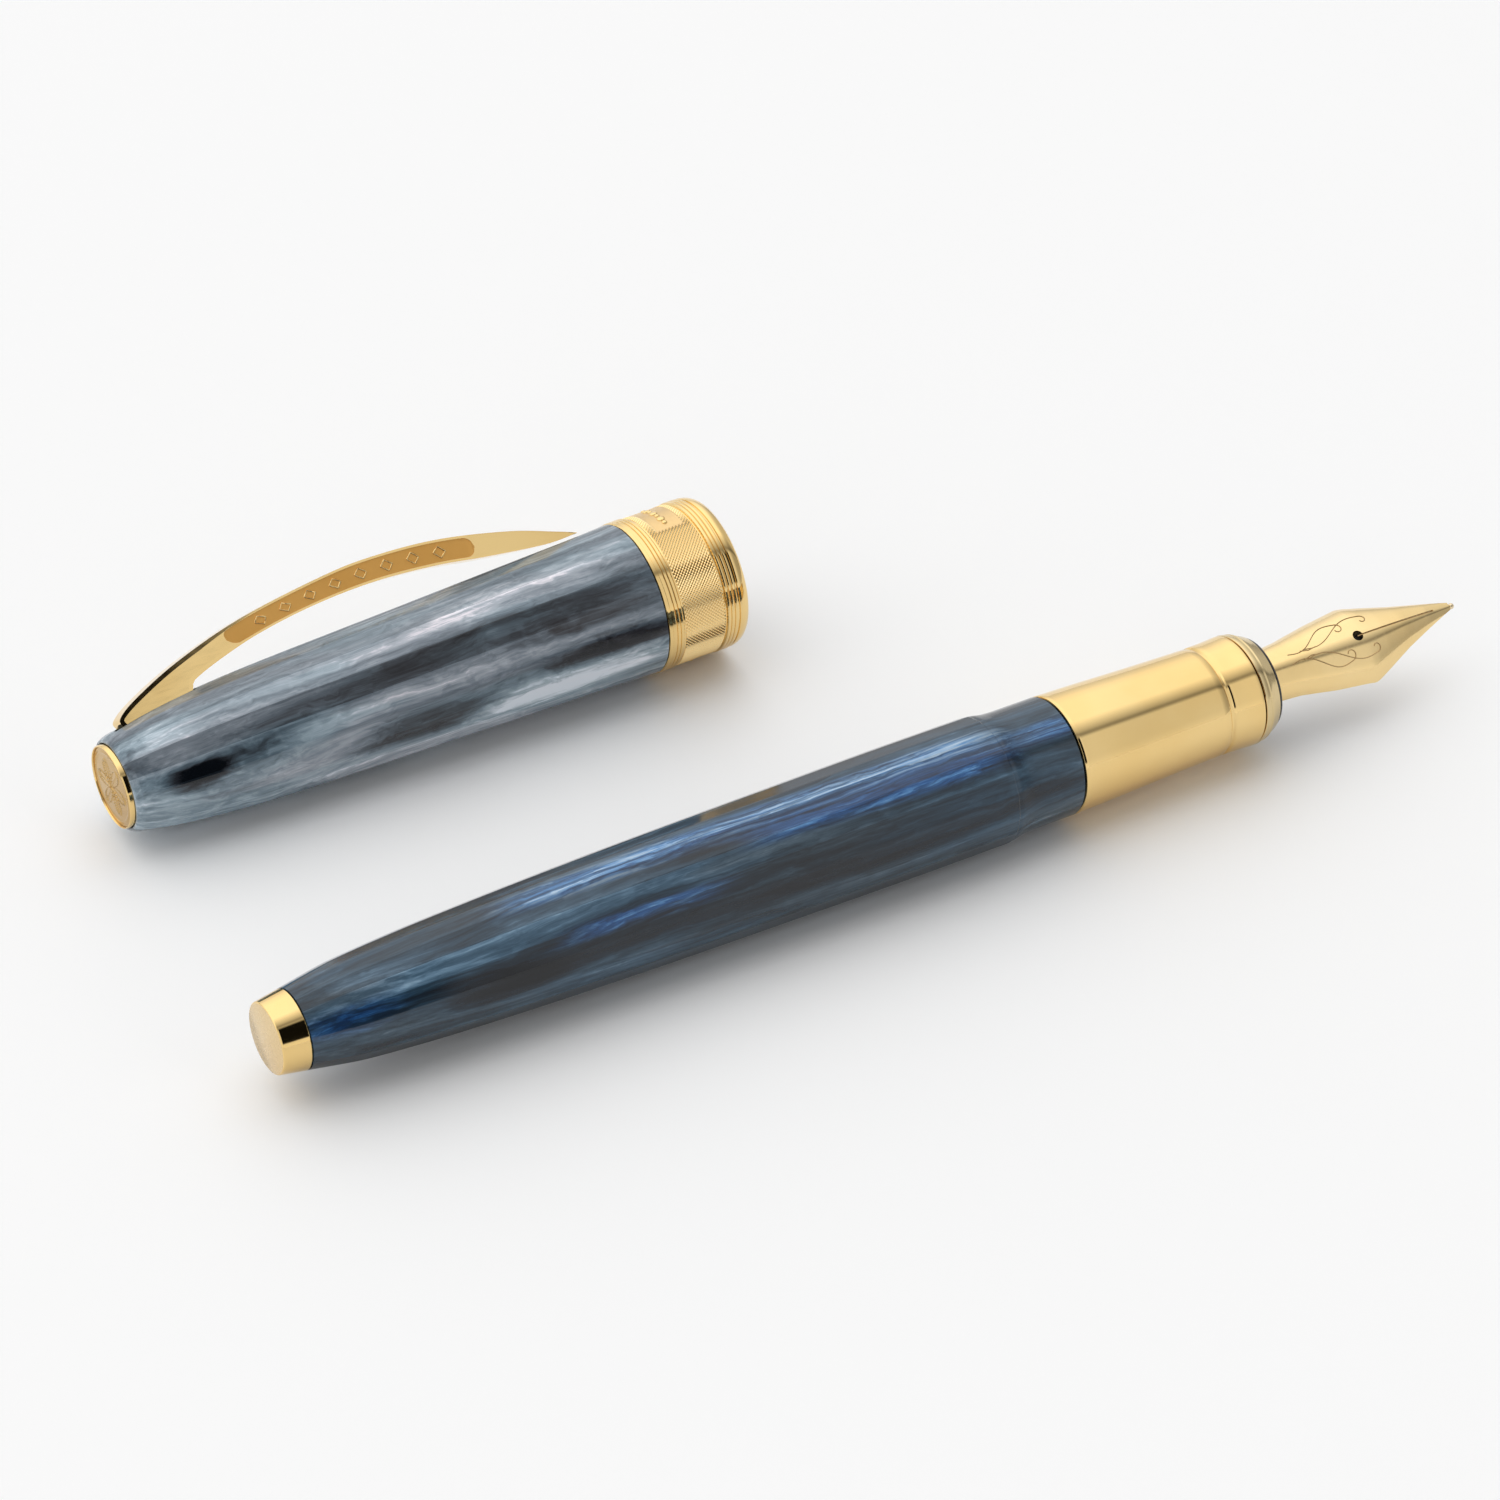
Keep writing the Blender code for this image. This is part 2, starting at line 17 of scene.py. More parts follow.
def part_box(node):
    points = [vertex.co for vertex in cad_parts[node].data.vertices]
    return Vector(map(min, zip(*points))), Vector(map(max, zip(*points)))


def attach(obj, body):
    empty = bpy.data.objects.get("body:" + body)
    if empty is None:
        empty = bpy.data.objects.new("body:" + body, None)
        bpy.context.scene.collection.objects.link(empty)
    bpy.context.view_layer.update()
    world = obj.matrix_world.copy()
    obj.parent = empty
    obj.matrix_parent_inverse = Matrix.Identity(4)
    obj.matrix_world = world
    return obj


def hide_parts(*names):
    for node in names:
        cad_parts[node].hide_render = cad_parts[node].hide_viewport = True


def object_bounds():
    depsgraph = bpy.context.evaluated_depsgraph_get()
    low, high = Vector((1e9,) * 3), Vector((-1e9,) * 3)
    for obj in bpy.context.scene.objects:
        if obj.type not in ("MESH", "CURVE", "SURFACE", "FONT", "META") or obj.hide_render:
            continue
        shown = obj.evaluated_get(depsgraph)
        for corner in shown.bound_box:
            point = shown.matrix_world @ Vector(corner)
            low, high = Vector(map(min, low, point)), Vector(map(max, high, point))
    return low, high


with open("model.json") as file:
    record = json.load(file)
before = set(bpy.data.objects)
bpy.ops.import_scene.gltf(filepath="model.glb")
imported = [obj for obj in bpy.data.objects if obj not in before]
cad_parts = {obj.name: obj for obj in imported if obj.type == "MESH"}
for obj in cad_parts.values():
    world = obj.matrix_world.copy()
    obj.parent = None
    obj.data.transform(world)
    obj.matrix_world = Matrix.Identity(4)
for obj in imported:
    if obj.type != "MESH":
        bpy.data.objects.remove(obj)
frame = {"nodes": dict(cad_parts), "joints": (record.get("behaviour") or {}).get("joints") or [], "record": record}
cad_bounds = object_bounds()

MM = 0.001

# Pen stations and radii, from the tail face
FERRULE_END = 2.7
STEP_X = 76.3
NECK_END = 84.0
GRIP_START = 84.15
GRIP_END = 105.0
LIP_END = 107.2
COLLAR_END = 107.8
NIB_TIP = 130.5
NECK_R = 5.96
BARREL_R = 6.4

# Cap stations, from the finial face
BAND_START = 56.7
CAP_LENGTH = 65.9

# Facets
FACETS = 18
FACET_ANGLE = 2 * math.pi / FACETS
EDGE_ROUNDING = math.radians(0.9)
# How far painted shade lightens and darkens the resin's facets in turn
PAINTED_FACET_SHADE = 0.15
FACET_PHASE = 2.4
RESIN_CREASE = 9.0

# Nib
NIB_ROLL = math.radians(27.0)
NIB_SHEET = 0.35
SLIT_WIDTH = 0.16
SLIT_END = 127.8
BREATHER_X = 118.6
BREATHER_R = 0.55

# Clip
CLIP_ROLL = math.radians(-40.0)
CLIP_PIVOT = (6.2, 1.6)
CLIP_HALF_THICKNESS = 1.2

# A direction that no wire runs along, to turn its sections from
ASKEW = Vector((0.31, 0.12, 0.94))

# How many sides stand in for a circle: fine for what is seen close to, plain for the rest
FINE_SIDES = 160
ROUND_SIDES = 128

# ---------------------------------------------------------------- frames


def named(rows, name):
    return next(row for row in rows if row["name"] == name)


def pen_matrix():
    low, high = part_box("tail_ferrule")
    return Matrix.Translation((low.x, (low.y + high.y) / 2, (low.z + high.z) / 2))


def crown_matrix():
    """The crown's frame: +X along the cap, +Z out through the clip, from the hinge's place and axis."""
    mouth = named(frame["record"]["mounts"], "cap_mouth")
    hinge = named(frame["joints"], "clip_hinge")
    along = Vector(mouth["axis"]).normalized()
    across = -Vector(hinge["axis"]).normalized()
    out = along.cross(across)
    origin = Vector(hinge["pos_m"]) - along * CLIP_PIVOT[0] * MM - out * CLIP_PIVOT[1] * MM
    turn = Matrix((along, across, out)).transposed().to_4x4()
    return Matrix.Translation(origin) @ turn


PEN = pen_matrix()
NIB = PEN @ Matrix.Rotation(NIB_ROLL, 4, "X")
CROWN = crown_matrix()
CAP = CROWN @ Matrix.Rotation(-CLIP_ROLL, 4, "X")

# ---------------------------------------------------------------- meshes


def placed(name, data):
    """A new object in the scene."""
    obj = bpy.data.objects.new(name, data)
    bpy.context.scene.collection.objects.link(obj)
    return obj


def make_piece(name, shape, matrix, body, materials, replaces=(), sharp=32.0):
    """A piece from (vertices, faces, material index of each face), in millimetres in the given frame."""
    verts, faces, indices = shape
    bm = bmesh.new()
    made = [bm.verts.new((x * MM, y * MM, z * MM)) for x, y, z in verts]
    for corners, index in zip(faces, indices):
        try:
            face = bm.faces.new([made[k] for k in corners])
        except ValueError:
            continue
        face.material_index = index
    bmesh.ops.remove_doubles(bm, verts=bm.verts, dist=1e-7)
    bmesh.ops.recalc_face_normals(bm, faces=bm.faces)
    mesh = bpy.data.meshes.new(name)
    bm.to_mesh(mesh)
    bm.free()
    mesh.shade_smooth()
    mesh.set_sharp_from_angle(angle=math.radians(sharp))
    for material in materials:
        mesh.materials.append(material)
    obj = placed(name, mesh)
    obj.matrix_world = matrix
    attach(obj, body)
    if replaces:
        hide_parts(*replaces)
    return obj


def carve(obj, cutters, sharp=32.0):
    """Cuts the closed shapes, given in the piece's own frame, out of it for good."""
    for number, (verts, faces, _) in enumerate(cutters):
        mesh = bpy.data.meshes.new(f"{obj.name}_cutter_{number}")
        mesh.from_pydata([(x * MM, y * MM, z * MM) for x, y, z in verts], [], faces)
        tool = placed(mesh.name, mesh)
        tool.matrix_world = obj.matrix_world
        modifier = obj.modifiers.new("cut", "BOOLEAN")
        modifier.operation = "DIFFERENCE"
        modifier.solver = "EXACT"
        modifier.object = tool
        bpy.context.view_layer.update()
        graph = bpy.context.evaluated_depsgraph_get()
        cut_mesh = bpy.data.meshes.new_from_object(obj.evaluated_get(graph), depsgraph=graph)
        obj.modifiers.clear()
        obj.data = cut_mesh
        bpy.data.objects.remove(tool)
    obj.data.set_sharp_from_angle(angle=math.radians(sharp))


def smooth_through(points, steps):
    """Points on a Catmull-Rom curve through the given ones, steps to each span."""
    path = [np.array(p, float) for p in points]
    path = [2 * path[0] - path[1], *path, 2 * path[-1] - path[-2]]
    found = []
    for i in range(1, len(path) - 2):
        a, b, c, d = path[i - 1 : i + 3]
        for k in range(steps):
            t = k / steps
            curve = 2 * b + (c - a) * t + (2 * a - 5 * b + 4 * c - d) * t**2 + (3 * b - a - 3 * c + d) * t**3
            found.append(tuple(curve / 2))
    found.append(tuple(path[-2]))
    return found


def facet_angles():
    """Angles round a faceted body, closer together at the edges, and each one's radius over its corner's."""
    half = FACET_ANGLE / 2
    inner = half - EDGE_ROUNDING
    offsets = [-half, -inner, -0.72 * inner, 0.0, 0.72 * inner, inner]
    angles, factors = [], []
    for k in range(FACETS):
        middle = -math.pi / 2 + k * FACET_ANGLE
        for offset in offsets:
            angles.append(middle + offset)
            factors.append(math.cos(half) / math.cos(min(abs(offset), inner)))
    return np.array(angles), np.array(factors)


def round_angles(sides):
    return -math.pi / 2 + 2 * math.pi * np.arange(sides) / sides, np.ones(sides)


def grid_faces(rows, columns, close_rows=False):
    """The faces between rows of points that each close on themselves."""
    faces = []
    for i in range(rows if close_rows else rows - 1):
        for j in range(columns):
            n, m = (i + 1) % rows, (j + 1) % columns
            faces.append((i * columns + j, i * columns + m, n * columns + m, n * columns + j))
    return faces


def turned(outline, sides=ROUND_SIDES, indices=None, relief=None):
    """A closed solid of revolution about X through (x, radius) or (x, radius, facet) points."""
    faceted = any(len(point) > 2 and point[2] > 0 for point in outline)
    angles, factors = facet_angles() if faceted else round_angles(sides)
    verts = []
    for point in outline:
        x, radius = point[:2]
        facet = min(1.0, max(0.0, point[2])) if len(point) > 2 else 0.0
        radii = radius * (1 - facet + facet * factors)
        if relief:
            radii = radii + relief(x, angles)
        verts.extend(zip(np.full(len(angles), x), radii * np.cos(angles), radii * np.sin(angles)))
    faces = grid_faces(len(outline), len(angles), close_rows=True)
    per_row = len(angles)
    chosen = [indices[k // per_row] if indices else 0 for k in range(len(faces))]
    return verts, faces, chosen


def end_faces(total, count):
    """The faces that close the first and the last section of a loft."""
    return [tuple(range(count)), tuple(range(total - count, total))]


def lofted(sections):
    """A closed solid through closed sections with the same number of points."""
    count = len(sections[0])
    verts = [point for section in sections for point in section]
    faces = grid_faces(len(sections), count) + end_faces(len(verts), count)
    return verts, faces, [0] * len(faces)


def block(low, high):
    (a, b, c), (d, e, f) = low, high
    verts = [(a, b, c), (d, b, c), (d, e, c), (a, e, c), (a, b, f), (d, b, f), (d, e, f), (a, e, f)]
    faces = [(0, 3, 2, 1), (4, 5, 6, 7), (0, 1, 5, 4), (1, 2, 6, 5), (2, 3, 7, 6), (3, 0, 4, 7)]
    return verts, faces, [0] * 6


def circle_turns(sides):
    return [2 * math.pi * k / sides for k in range(sides)]


def around(x, radius, angle, height=0.0):
    """A point at an angle about the axis, or about a line at a height over it, from +Y toward +Z."""
    return (x, radius * math.cos(angle), height + radius * math.sin(angle))


def ring_about(centre, side, up, radius, sides):
    """Points of a circle in the plane of two square vectors."""
    return [tuple(centre + radius * (math.cos(t) * side + math.sin(t) * up)) for t in circle_turns(sides)]


def post(x, radius, low, high, sides=48):
    """A round post standing along Z."""
    turns = circle_turns(sides)
    return lofted([[(x + radius * math.cos(t), radius * math.sin(t), z) for t in turns] for z in (low, high)])


def tube(path, radius, sides=6):
    """A wire along a path of points."""
    path = [Vector(p) for p in path]
    sections = []
    for k, point in enumerate(path):
        ahead = (path[min(k + 1, len(path) - 1)] - path[max(k - 1, 0)]).normalized()
        side = ahead.cross(ASKEW).normalized()
        sections.append(ring_about(point, side, side.cross(ahead), radius, sides))
    return lofted(sections)


def joined(shapes):
    """Several shapes as one."""
    verts, faces, indices = [], [], []
    for shape_verts, shape_faces, shape_indices in shapes:
        start = len(verts)
        verts.extend(shape_verts)
        faces.extend(tuple(k + start for k in face) for face in shape_faces)
        indices.extend(shape_indices)
    return verts, faces, indices


# ---------------------------------------------------------------- materials


class Graph:
    """Builds nodes in a tree, each input given as a constant or as another node's output."""

    def __init__(self, tree):
        self.tree = tree

    def add(self, kind, inputs=None, **settings):
        node = self.tree.nodes.new(kind)
        for key, value in settings.items():
            setattr(node, key, value)
        for key, value in (inputs or {}).items():
            self.feed(node.inputs[key], value)
        return node

    def feed(self, socket, value):
        if isinstance(value, bpy.types.NodeSocket):
            self.tree.links.new(value, socket)
        else:
            socket.default_value = value

    def vector(self, operation, a, b):
        return self.add("ShaderNodeVectorMath", {0: a, 1: b}, operation=operation).outputs[0]

    def length(self, a):
        return self.add("ShaderNodeVectorMath", {0: a}, operation="LENGTH").outputs["Value"]

    def maths(self, operation, a, b=0.0, c=0.0):
        return self.add("ShaderNodeMath", {0: a, 1: b, 2: c}, operation=operation).outputs[0]

    def noise(self, place, detail=4.0, roughness=0.5, distortion=0.0, colour=False):
        inputs = {"Vector": place, "Detail": detail, "Roughness": roughness, "Distortion": distortion}
        node = self.add("ShaderNodeTexNoise", {"Scale": 1.0, **inputs})
        return node.outputs["Color" if colour else 0]

    def span(self, value, low, high, to_low, to_high, smooth=True):
        inputs = dict(enumerate((value, low, high, to_low, to_high)))
        kind = "SMOOTHSTEP" if smooth else "LINEAR"
        return self.add("ShaderNodeMapRange", inputs, interpolation_type=kind).outputs[0]

    def ramp(self, value, stops):
        node = self.add("ShaderNodeValToRGB", {"Fac": value})
        elements = node.color_ramp.elements
        while len(elements) < len(stops):
            elements.new(0.5)
        for element, (position, colour) in zip(elements, stops):
            element.position = position
            element.color = (*colour, 1.0)
        return node.outputs["Color"]

    def mix(self, factor, a, b, blend="MIX"):
        a, b = (end if isinstance(end, bpy.types.NodeSocket) else (*end, 1.0) for end in (a, b))
        inputs = {0: factor, 6: a, 7: b}
        return self.add("ShaderNodeMix", inputs, data_type="RGBA", blend_type=blend).outputs[2]


class Recipe(Graph):
    """A Principled material whose inputs come from procedural nodes in the piece's own coordinates."""

    def __init__(self, name, **constants):
        self.material = bpy.data.materials.new(name)
        self.material.use_nodes = True
        super().__init__(self.material.node_tree)
        self.shader = self.tree.nodes["Principled BSDF"]
        self.place = self.add("ShaderNodeTexCoord").outputs["Object"]
        for socket, value in constants.items():
            self.shader.inputs[socket.replace("_", " ")].default_value = value

    def scaled(self, scale, offset=(0, 0, 0), place=None):
        """The place, by default the piece's own in millimetres, times scale plus offset."""
        if place is None:
            place, scale = self.place, [s / MM for s in scale]
        inputs = {0: place, 1: scale, 2: offset}
        return self.add("ShaderNodeVectorMath", inputs, operation="MULTIPLY_ADD").outputs[0]

    def bump(self, height, strength, distance):
        """Distance is in millimetres."""
        inputs = {"Strength": strength, "Distance": distance * MM, "Height": height}
        self.set("Normal", self.add("ShaderNodeBump", inputs).outputs["Normal"])

    def set(self, socket, value):
        self.feed(self.shader.inputs[socket], value)


def marbled(
    name, stops, tints, clouds, seed, curl, contrast, base, plain, facet_start, ribbon_stops=None, ribbons=()
):
    """Swirled pearly resin drawn out along X, with painted shade that makes each facet a little lighter or darker.

    clouds are (station, angle, radius, half length, half width, amount): where the swirl is lighter or
    darker than elsewhere. ribbons are (start, end, angle at start, angle at end, half width, lightness)
    and take their own colours. curl is how far the fibres wander, contrast how far light and dark are apart,
    base the middle between them, plain holds the stations between which the painted facet shade fades out, and
    facet_start turns the run of facets painted lighter and darker.
    """
    recipe = Recipe(name, IOR=1.5)
    maths, span, scaled, noise = recipe.maths, recipe.span, recipe.scaled, recipe.noise
    shift = (seed, 2.3 * seed, 5.1 * seed)
    broad = noise(scaled((0.03, 0.13, 0.13), shift), detail=3.0, colour=True)
    fine = noise(scaled((0.05, 0.85, 0.85), shift), detail=5.0, roughness=0.6, colour=True)
    swirl = noise(scaled((0.22, 0.3, 0.3), shift), detail=2.0, distortion=1.2, colour=True)
    place = scaled((1.0, 1.0, 1.0))

    def pushed(start, along, aside, source):
        """The start moved by up to half of along and aside, as the source noise says."""
        offset = (-along / 2, -aside / 2, -aside / 2)
        return recipe.vector("ADD", start, scaled((along, aside, aside), offset, source))

    near = pushed(place, 6.0, 1.3, fine)
    place = pushed(pushed(place, 20.0, 3.6, broad), 16.0, 0.55, fine)
    curled = pushed(place, 9.0 * curl, 3.6 * curl, swirl)

    body = noise(scaled((0.026, 0.30, 0.30), shift, curled), detail=8.0, roughness=0.58)
    fibres = noise(scaled((0.022, 1.1, 1.1), shift, curled), detail=6.0, roughness=0.62)
    threads = noise(scaled((0.03, 2.3, 2.3), shift, place), detail=4.0, roughness=0.7)
    level = maths("MULTIPLY_ADD", body, 2.0 * contrast, base - contrast)
    level = maths("MULTIPLY_ADD", maths("SUBTRACT", fibres, 0.5), 1.1 * contrast, level)
    level = maths("MULTIPLY_ADD", maths("SUBTRACT", threads, 0.5), 0.8 * contrast, level)

    lines = noise(scaled((0.1, 0.22, 0.22), shift, curled), detail=1.0)
    lines = maths("PINGPONG", maths("MULTIPLY", lines, 30.0), 1.0)
    patches = noise(scaled((0.07, 0.16, 0.16), shift), detail=1.0)
    where = span(patches, 0.5, 0.68, 0.0, 0.10 * curl)
    level = maths("MULTIPLY_ADD", maths("SUBTRACT", lines, 0.5), where, level)

    def mask(station, angle, radius, half_length, half_width):
        centre = around(station, radius, math.radians(angle))
        scale = (1 / half_length, 1 / half_width, 1 / half_width)
        offset = [-c * s for c, s in zip(centre, scale)]
        return span(recipe.length(scaled(scale, offset, near)), 1.35, 0.35, 0.0, 1.0)

    def ribbon(start, end, first_angle, last_angle, half_width):
        x, y, z = recipe.add("ShaderNodeSeparateXYZ", {0: near}).outputs
        middle = span(x, start, end, math.radians(first_angle), math.radians(last_angle), smooth=False)
        off = maths("ABSOLUTE", maths("SUBTRACT", maths("ARCTAN2", z, y), middle))
        off = maths("MULTIPLY", off, BARREL_R)
        share = span(off, 1.25 * half_width, 0.3 * half_width, 0.0, 1.0)
        share = maths("MULTIPLY", share, span(x, start - 4.0, start + 4.0, 0.0, 1.0))
        return maths("MULTIPLY", share, span(x, end - 4.0, end + 4.0, 1.0, 0.0))

    for *blob, amount in clouds:
        level = maths("MULTIPLY_ADD", mask(*blob), amount, level)

    # Painted shade: each facet is drawn a little lighter or darker in turn, standing in for how the light falls on
    # it
    x, y, z = recipe.add("ShaderNodeSeparateXYZ", {0: recipe.place}).outputs
    turn = maths("ADD", maths("ARCTAN2", z, y), math.pi / 2)
    number = maths("ROUND", maths("DIVIDE", turn, FACET_ANGLE))
    wave = maths("SINE", maths("MULTIPLY_ADD", number, FACET_PHASE, facet_start))
    faceted = span(x, plain[0] * MM, plain[1] * MM, PAINTED_FACET_SHADE, 0.0)
    painted_facet_shade = maths("MULTIPLY", wave, faceted)
    level = maths("MULTIPLY_ADD", painted_facet_shade, 0.4, level)

    colour = recipe.ramp(level, stops)
    hue = noise(scaled((0.03, 0.22, 0.22), shift, place), detail=4.0)
    warm, cool = (recipe.mix(1.0, colour, tint, blend="MULTIPLY") for tint in tints)
    colour = recipe.mix(span(hue, 0.40, 0.60, 0.0, 1.0), warm, cool)
    if ribbons:
        strands = maths("MULTIPLY_ADD", threads, 0.6, maths("MULTIPLY", fibres, 0.4))
        ragged = span(fibres, 0.36, 0.52, 0.35, 1.0)
    for *strip, lightness in ribbons:
        bright = recipe.ramp(maths("ADD", strands, lightness), ribbon_stops)
        colour = recipe.mix(maths("MULTIPLY", ribbon(*strip), ragged), colour, bright)
    # The painted facet shade also scales the colour
    painted_facet_shade = maths("ADD", painted_facet_shade, 1.0)
    lit = recipe.add("ShaderNodeVectorMath", {0: colour, 3: painted_facet_shade}, operation="SCALE").outputs[0]
    recipe.set("Base Color", lit)
    recipe.set("Roughness", span(fine, 0.3, 0.7, 0.08, 0.15))
    recipe.bump(noise(scaled((0.3, 2.0, 2.0), shift), detail=3.0), 0.10, 0.01)
    return recipe.material


def metal(name, colour, darker, roughness, grain=(0.5, 3.0, 3.0), grain_depth=0.0, spread=0.05, metallic=1.0):
    """Metal whose polish and colour drift slightly, with fine grain where grain_depth isn't 0."""
    recipe = Recipe(name, Metallic=metallic)
    drift = recipe.noise(recipe.scaled((0.12, 0.12, 0.12)), detail=4.0)
    recipe.set("Base Color", recipe.mix(recipe.span(drift, 0.35, 0.65, 0.0, 1.0), colour, darker))
    wear = recipe.noise(recipe.scaled(grain), detail=4.0, roughness=0.65)
    recipe.set("Roughness", recipe.span(wear, 0.35, 0.75, roughness, roughness + spread))
    if grain_depth:
        recipe.bump(wear, 0.6, grain_depth)
    return recipe.material


def plastic(name, colour, lighter, roughness, bump=0.004, **constants):
    recipe = Recipe(name, **constants)
    drift = recipe.noise(recipe.scaled((0.5, 0.5, 0.5)), detail=5.0)
    recipe.set("Base Color", recipe.mix(recipe.span(drift, 0.35, 0.7, 0.0, 1.0), colour, lighter))
    grain = recipe.noise(recipe.scaled((6.0, 6.0, 6.0)), detail=3.0)
    recipe.set("Roughness", recipe.span(grain, 0.3, 0.7, roughness, roughness + 0.12))
    recipe.bump(grain, 0.4, bump)
    return recipe.material


CAP_STOPS = [
    (0.08, (0.003, 0.004, 0.006)),
    (0.24, (0.022, 0.023, 0.028)),
    (0.38, (0.055, 0.068, 0.082)),
    (0.52, (0.110, 0.145, 0.175)),
    (0.66, (0.21, 0.26, 0.30)),
    (0.82, (0.40, 0.46, 0.51)),
    (1.0, (0.93, 0.92, 0.97)),
]
BARREL_STOPS = [
    (0.02, (0.002, 0.003, 0.005)),
    (0.22, (0.009, 0.011, 0.016)),
    (0.40, (0.014, 0.024, 0.036)),
    (0.54, (0.026, 0.050, 0.074)),
    (0.68, (0.055, 0.095, 0.135)),
    (0.84, (0.150, 0.215, 0.280)),
    (1.0, (0.42, 0.50, 0.58)),
]

CAP_RESIN = marbled(
    "cap_marble",
    CAP_STOPS,
    ((1.02, 0.96, 0.97), (0.91, 0.99, 1.02)),
    [
        (5.0, 114, 5.3, 4.5, 2.4, 0.14), (6.7, 157, 5.8, 3.6, 1.35, -0.60),
        (12.0, 154, 6.2, 6.0, 1.3, -0.22), (13.0, 118, 6.4, 5.0, 1.8, 0.06),
        (18.0, 176, 6.6, 8.0, 2.2, 0.14), (24.0, 98, 6.8, 13.0, 2.2, 0.10),
        (30.0, 182, 6.9, 8.0, 1.8, -0.40), (33.0, 126, 7.0, 12.0, 1.7, -0.10),
        (38.0, 100, 7.2, 8.0, 1.9, 0.12), (52.0, 99, 7.6, 9.0, 2.0, 0.12),
        (49.0, 139, 7.4, 11.0, 1.8, -0.28), (51.0, 168, 7.5, 9.0, 1.3, -0.44),
        (22.0, 135, 6.8, 14.0, 1.2, -0.10), (47.0, 188, 7.4, 12.0, 1.8, 0.42),
    ],
    seed=3.7,
    curl=0.5,
    contrast=0.50,
    base=0.62,
    plain=(49.0, 55.0),
    facet_start=math.pi,
)
BARREL_RESIN = marbled(
    "barrel_marble",
    BARREL_STOPS,
    ((1.02, 0.96, 0.92), (0.79, 0.98, 1.08)),
    [
        (14.0, 142, 5.2, 7.0, 1.4, 0.14), (9.0, 112, 5.0, 8.0, 1.6, 0.08),
        (23.0, 168, 5.7, 7.0, 1.3, -0.42), (21.0, 144, 5.6, 5.0, 0.9, 0.10),
        (32.0, 185, 6.0, 12.0, 1.1, 0.10), (42.0, 166, 6.1, 14.0, 1.3, -0.22),
        (48.0, 140, 6.2, 12.0, 1.4, 0.06), (34.0, 112, 6.0, 10.0, 1.1, -0.08),
        (64.0, 168, 6.4, 14.0, 1.4, -0.20), (62.0, 186, 6.4, 13.0, 1.1, 0.08),
        (80.0, 168, 6.0, 6.0, 1.4, -0.22), (80.0, 138, 6.0, 5.0, 1.2, 0.05),
    ],
    seed=8.1,
    curl=0.2,
    contrast=0.62,
    base=0.50,
    plain=(75.4, 76.0),
    facet_start=0.0,
    ribbon_stops=[
        (0.36, (0.010, 0.030, 0.085)),
        (0.47, (0.022, 0.095, 0.270)),
        (0.55, (0.095, 0.260, 0.520)),
        (0.66, (0.42, 0.56, 0.69)),
    ],
    ribbons=[
        (3.0, 10.0, 150, 150, 2.0, -0.11),
        (25.0, 76.0, 94, 103, 1.5, 0.06),
        (30.0, 44.0, 144, 147, 1.0, -0.06),
        (50.0, 76.0, 112, 120, 1.6, -0.05),
        (50.0, 66.0, 206, 206, 1.0, -0.03),
        (79.0, 86.0, 112, 114, 1.3, 0.0),
    ],
)
GOLD = metal("polished_gold", (0.88, 0.64, 0.285), (0.85, 0.60, 0.25), 0.06, spread=0.05)
BAND_GOLD = metal("band_gold", (0.97, 0.74, 0.38), (0.94, 0.70, 0.34), 0.14, spread=0.07)
PANEL_GOLD = metal("panel_gold", (0.76, 0.54, 0.26), (0.71, 0.49, 0.22), 0.30, (2.2, 2.2, 2.2), 0.004, 0.1)
MEDAL_GOLD = metal(
    "medal_gold", (0.58, 0.385, 0.155), (0.54, 0.35, 0.135), 0.16, (1.2, 1.2, 1.2), 0.001, 0.08
)
SATIN_GOLD = metal("satin_gold", (0.80, 0.62, 0.36), (0.76, 0.575, 0.32), 0.26, (2.2, 2.2, 2.2), 0.006, 0.1)
BRUSHED_GOLD = metal(
    "brushed_gold", (0.87, 0.465, 0.115), (0.82, 0.425, 0.095), 0.34, (1.6, 9.0, 9.0), 0.008, 0.12, 0.5
)
PALE_GOLD = metal("pale_gold", (0.74, 0.59, 0.33), (0.70, 0.55, 0.29), 0.12, (4.0, 1.0, 1.0), 0.001, 0.08)
NIB_GOLD = metal("nib_gold", (0.90, 0.68, 0.34), (0.87, 0.64, 0.30), 0.10, (3.0, 1.2, 1.2), 0.0012, 0.08)
# The dark etch colour, also used for the painted shade in the nib's slit
NIB_ETCH_AND_SLIT_SHADE = metal("nib_etch_and_slit_shade", (0.46, 0.31, 0.15), (0.38, 0.25, 0.12), 0.35, (8.0, 8.0, 8.0), 0.004, 0.15)
TIPPING = metal("tipping", (0.80, 0.66, 0.44), (0.75, 0.61, 0.39), 0.16)
STEEL = metal("steel", (0.62, 0.62, 0.63), (0.55, 0.55, 0.57), 0.22, (9.0, 0.8, 0.8), 0.004, 0.12)
MAGNET = metal("magnet", (0.34, 0.34, 0.36), (0.28, 0.28, 0.30), 0.28, (3.0, 3.0, 3.0), 0.004, 0.12)
BLACK = plastic("black_plastic", (0.010, 0.010, 0.011), (0.018, 0.018, 0.020), 0.22)
FEED_BLACK = plastic("feed_plastic", (0.012, 0.012, 0.013), (0.022, 0.022, 0.024), 0.42, 0.008)
CLEAR = plastic(
    "clear_plastic", (0.90, 0.93, 0.95), (0.84, 0.88, 0.90), 0.04, 0.0006, Transmission_Weight=1.0, IOR=1.49
)
RUBBER = plastic("rubber", (0.014, 0.014, 0.014), (0.030, 0.030, 0.030), 0.55, 0.01)

# ---------------------------------------------------------------- barrel

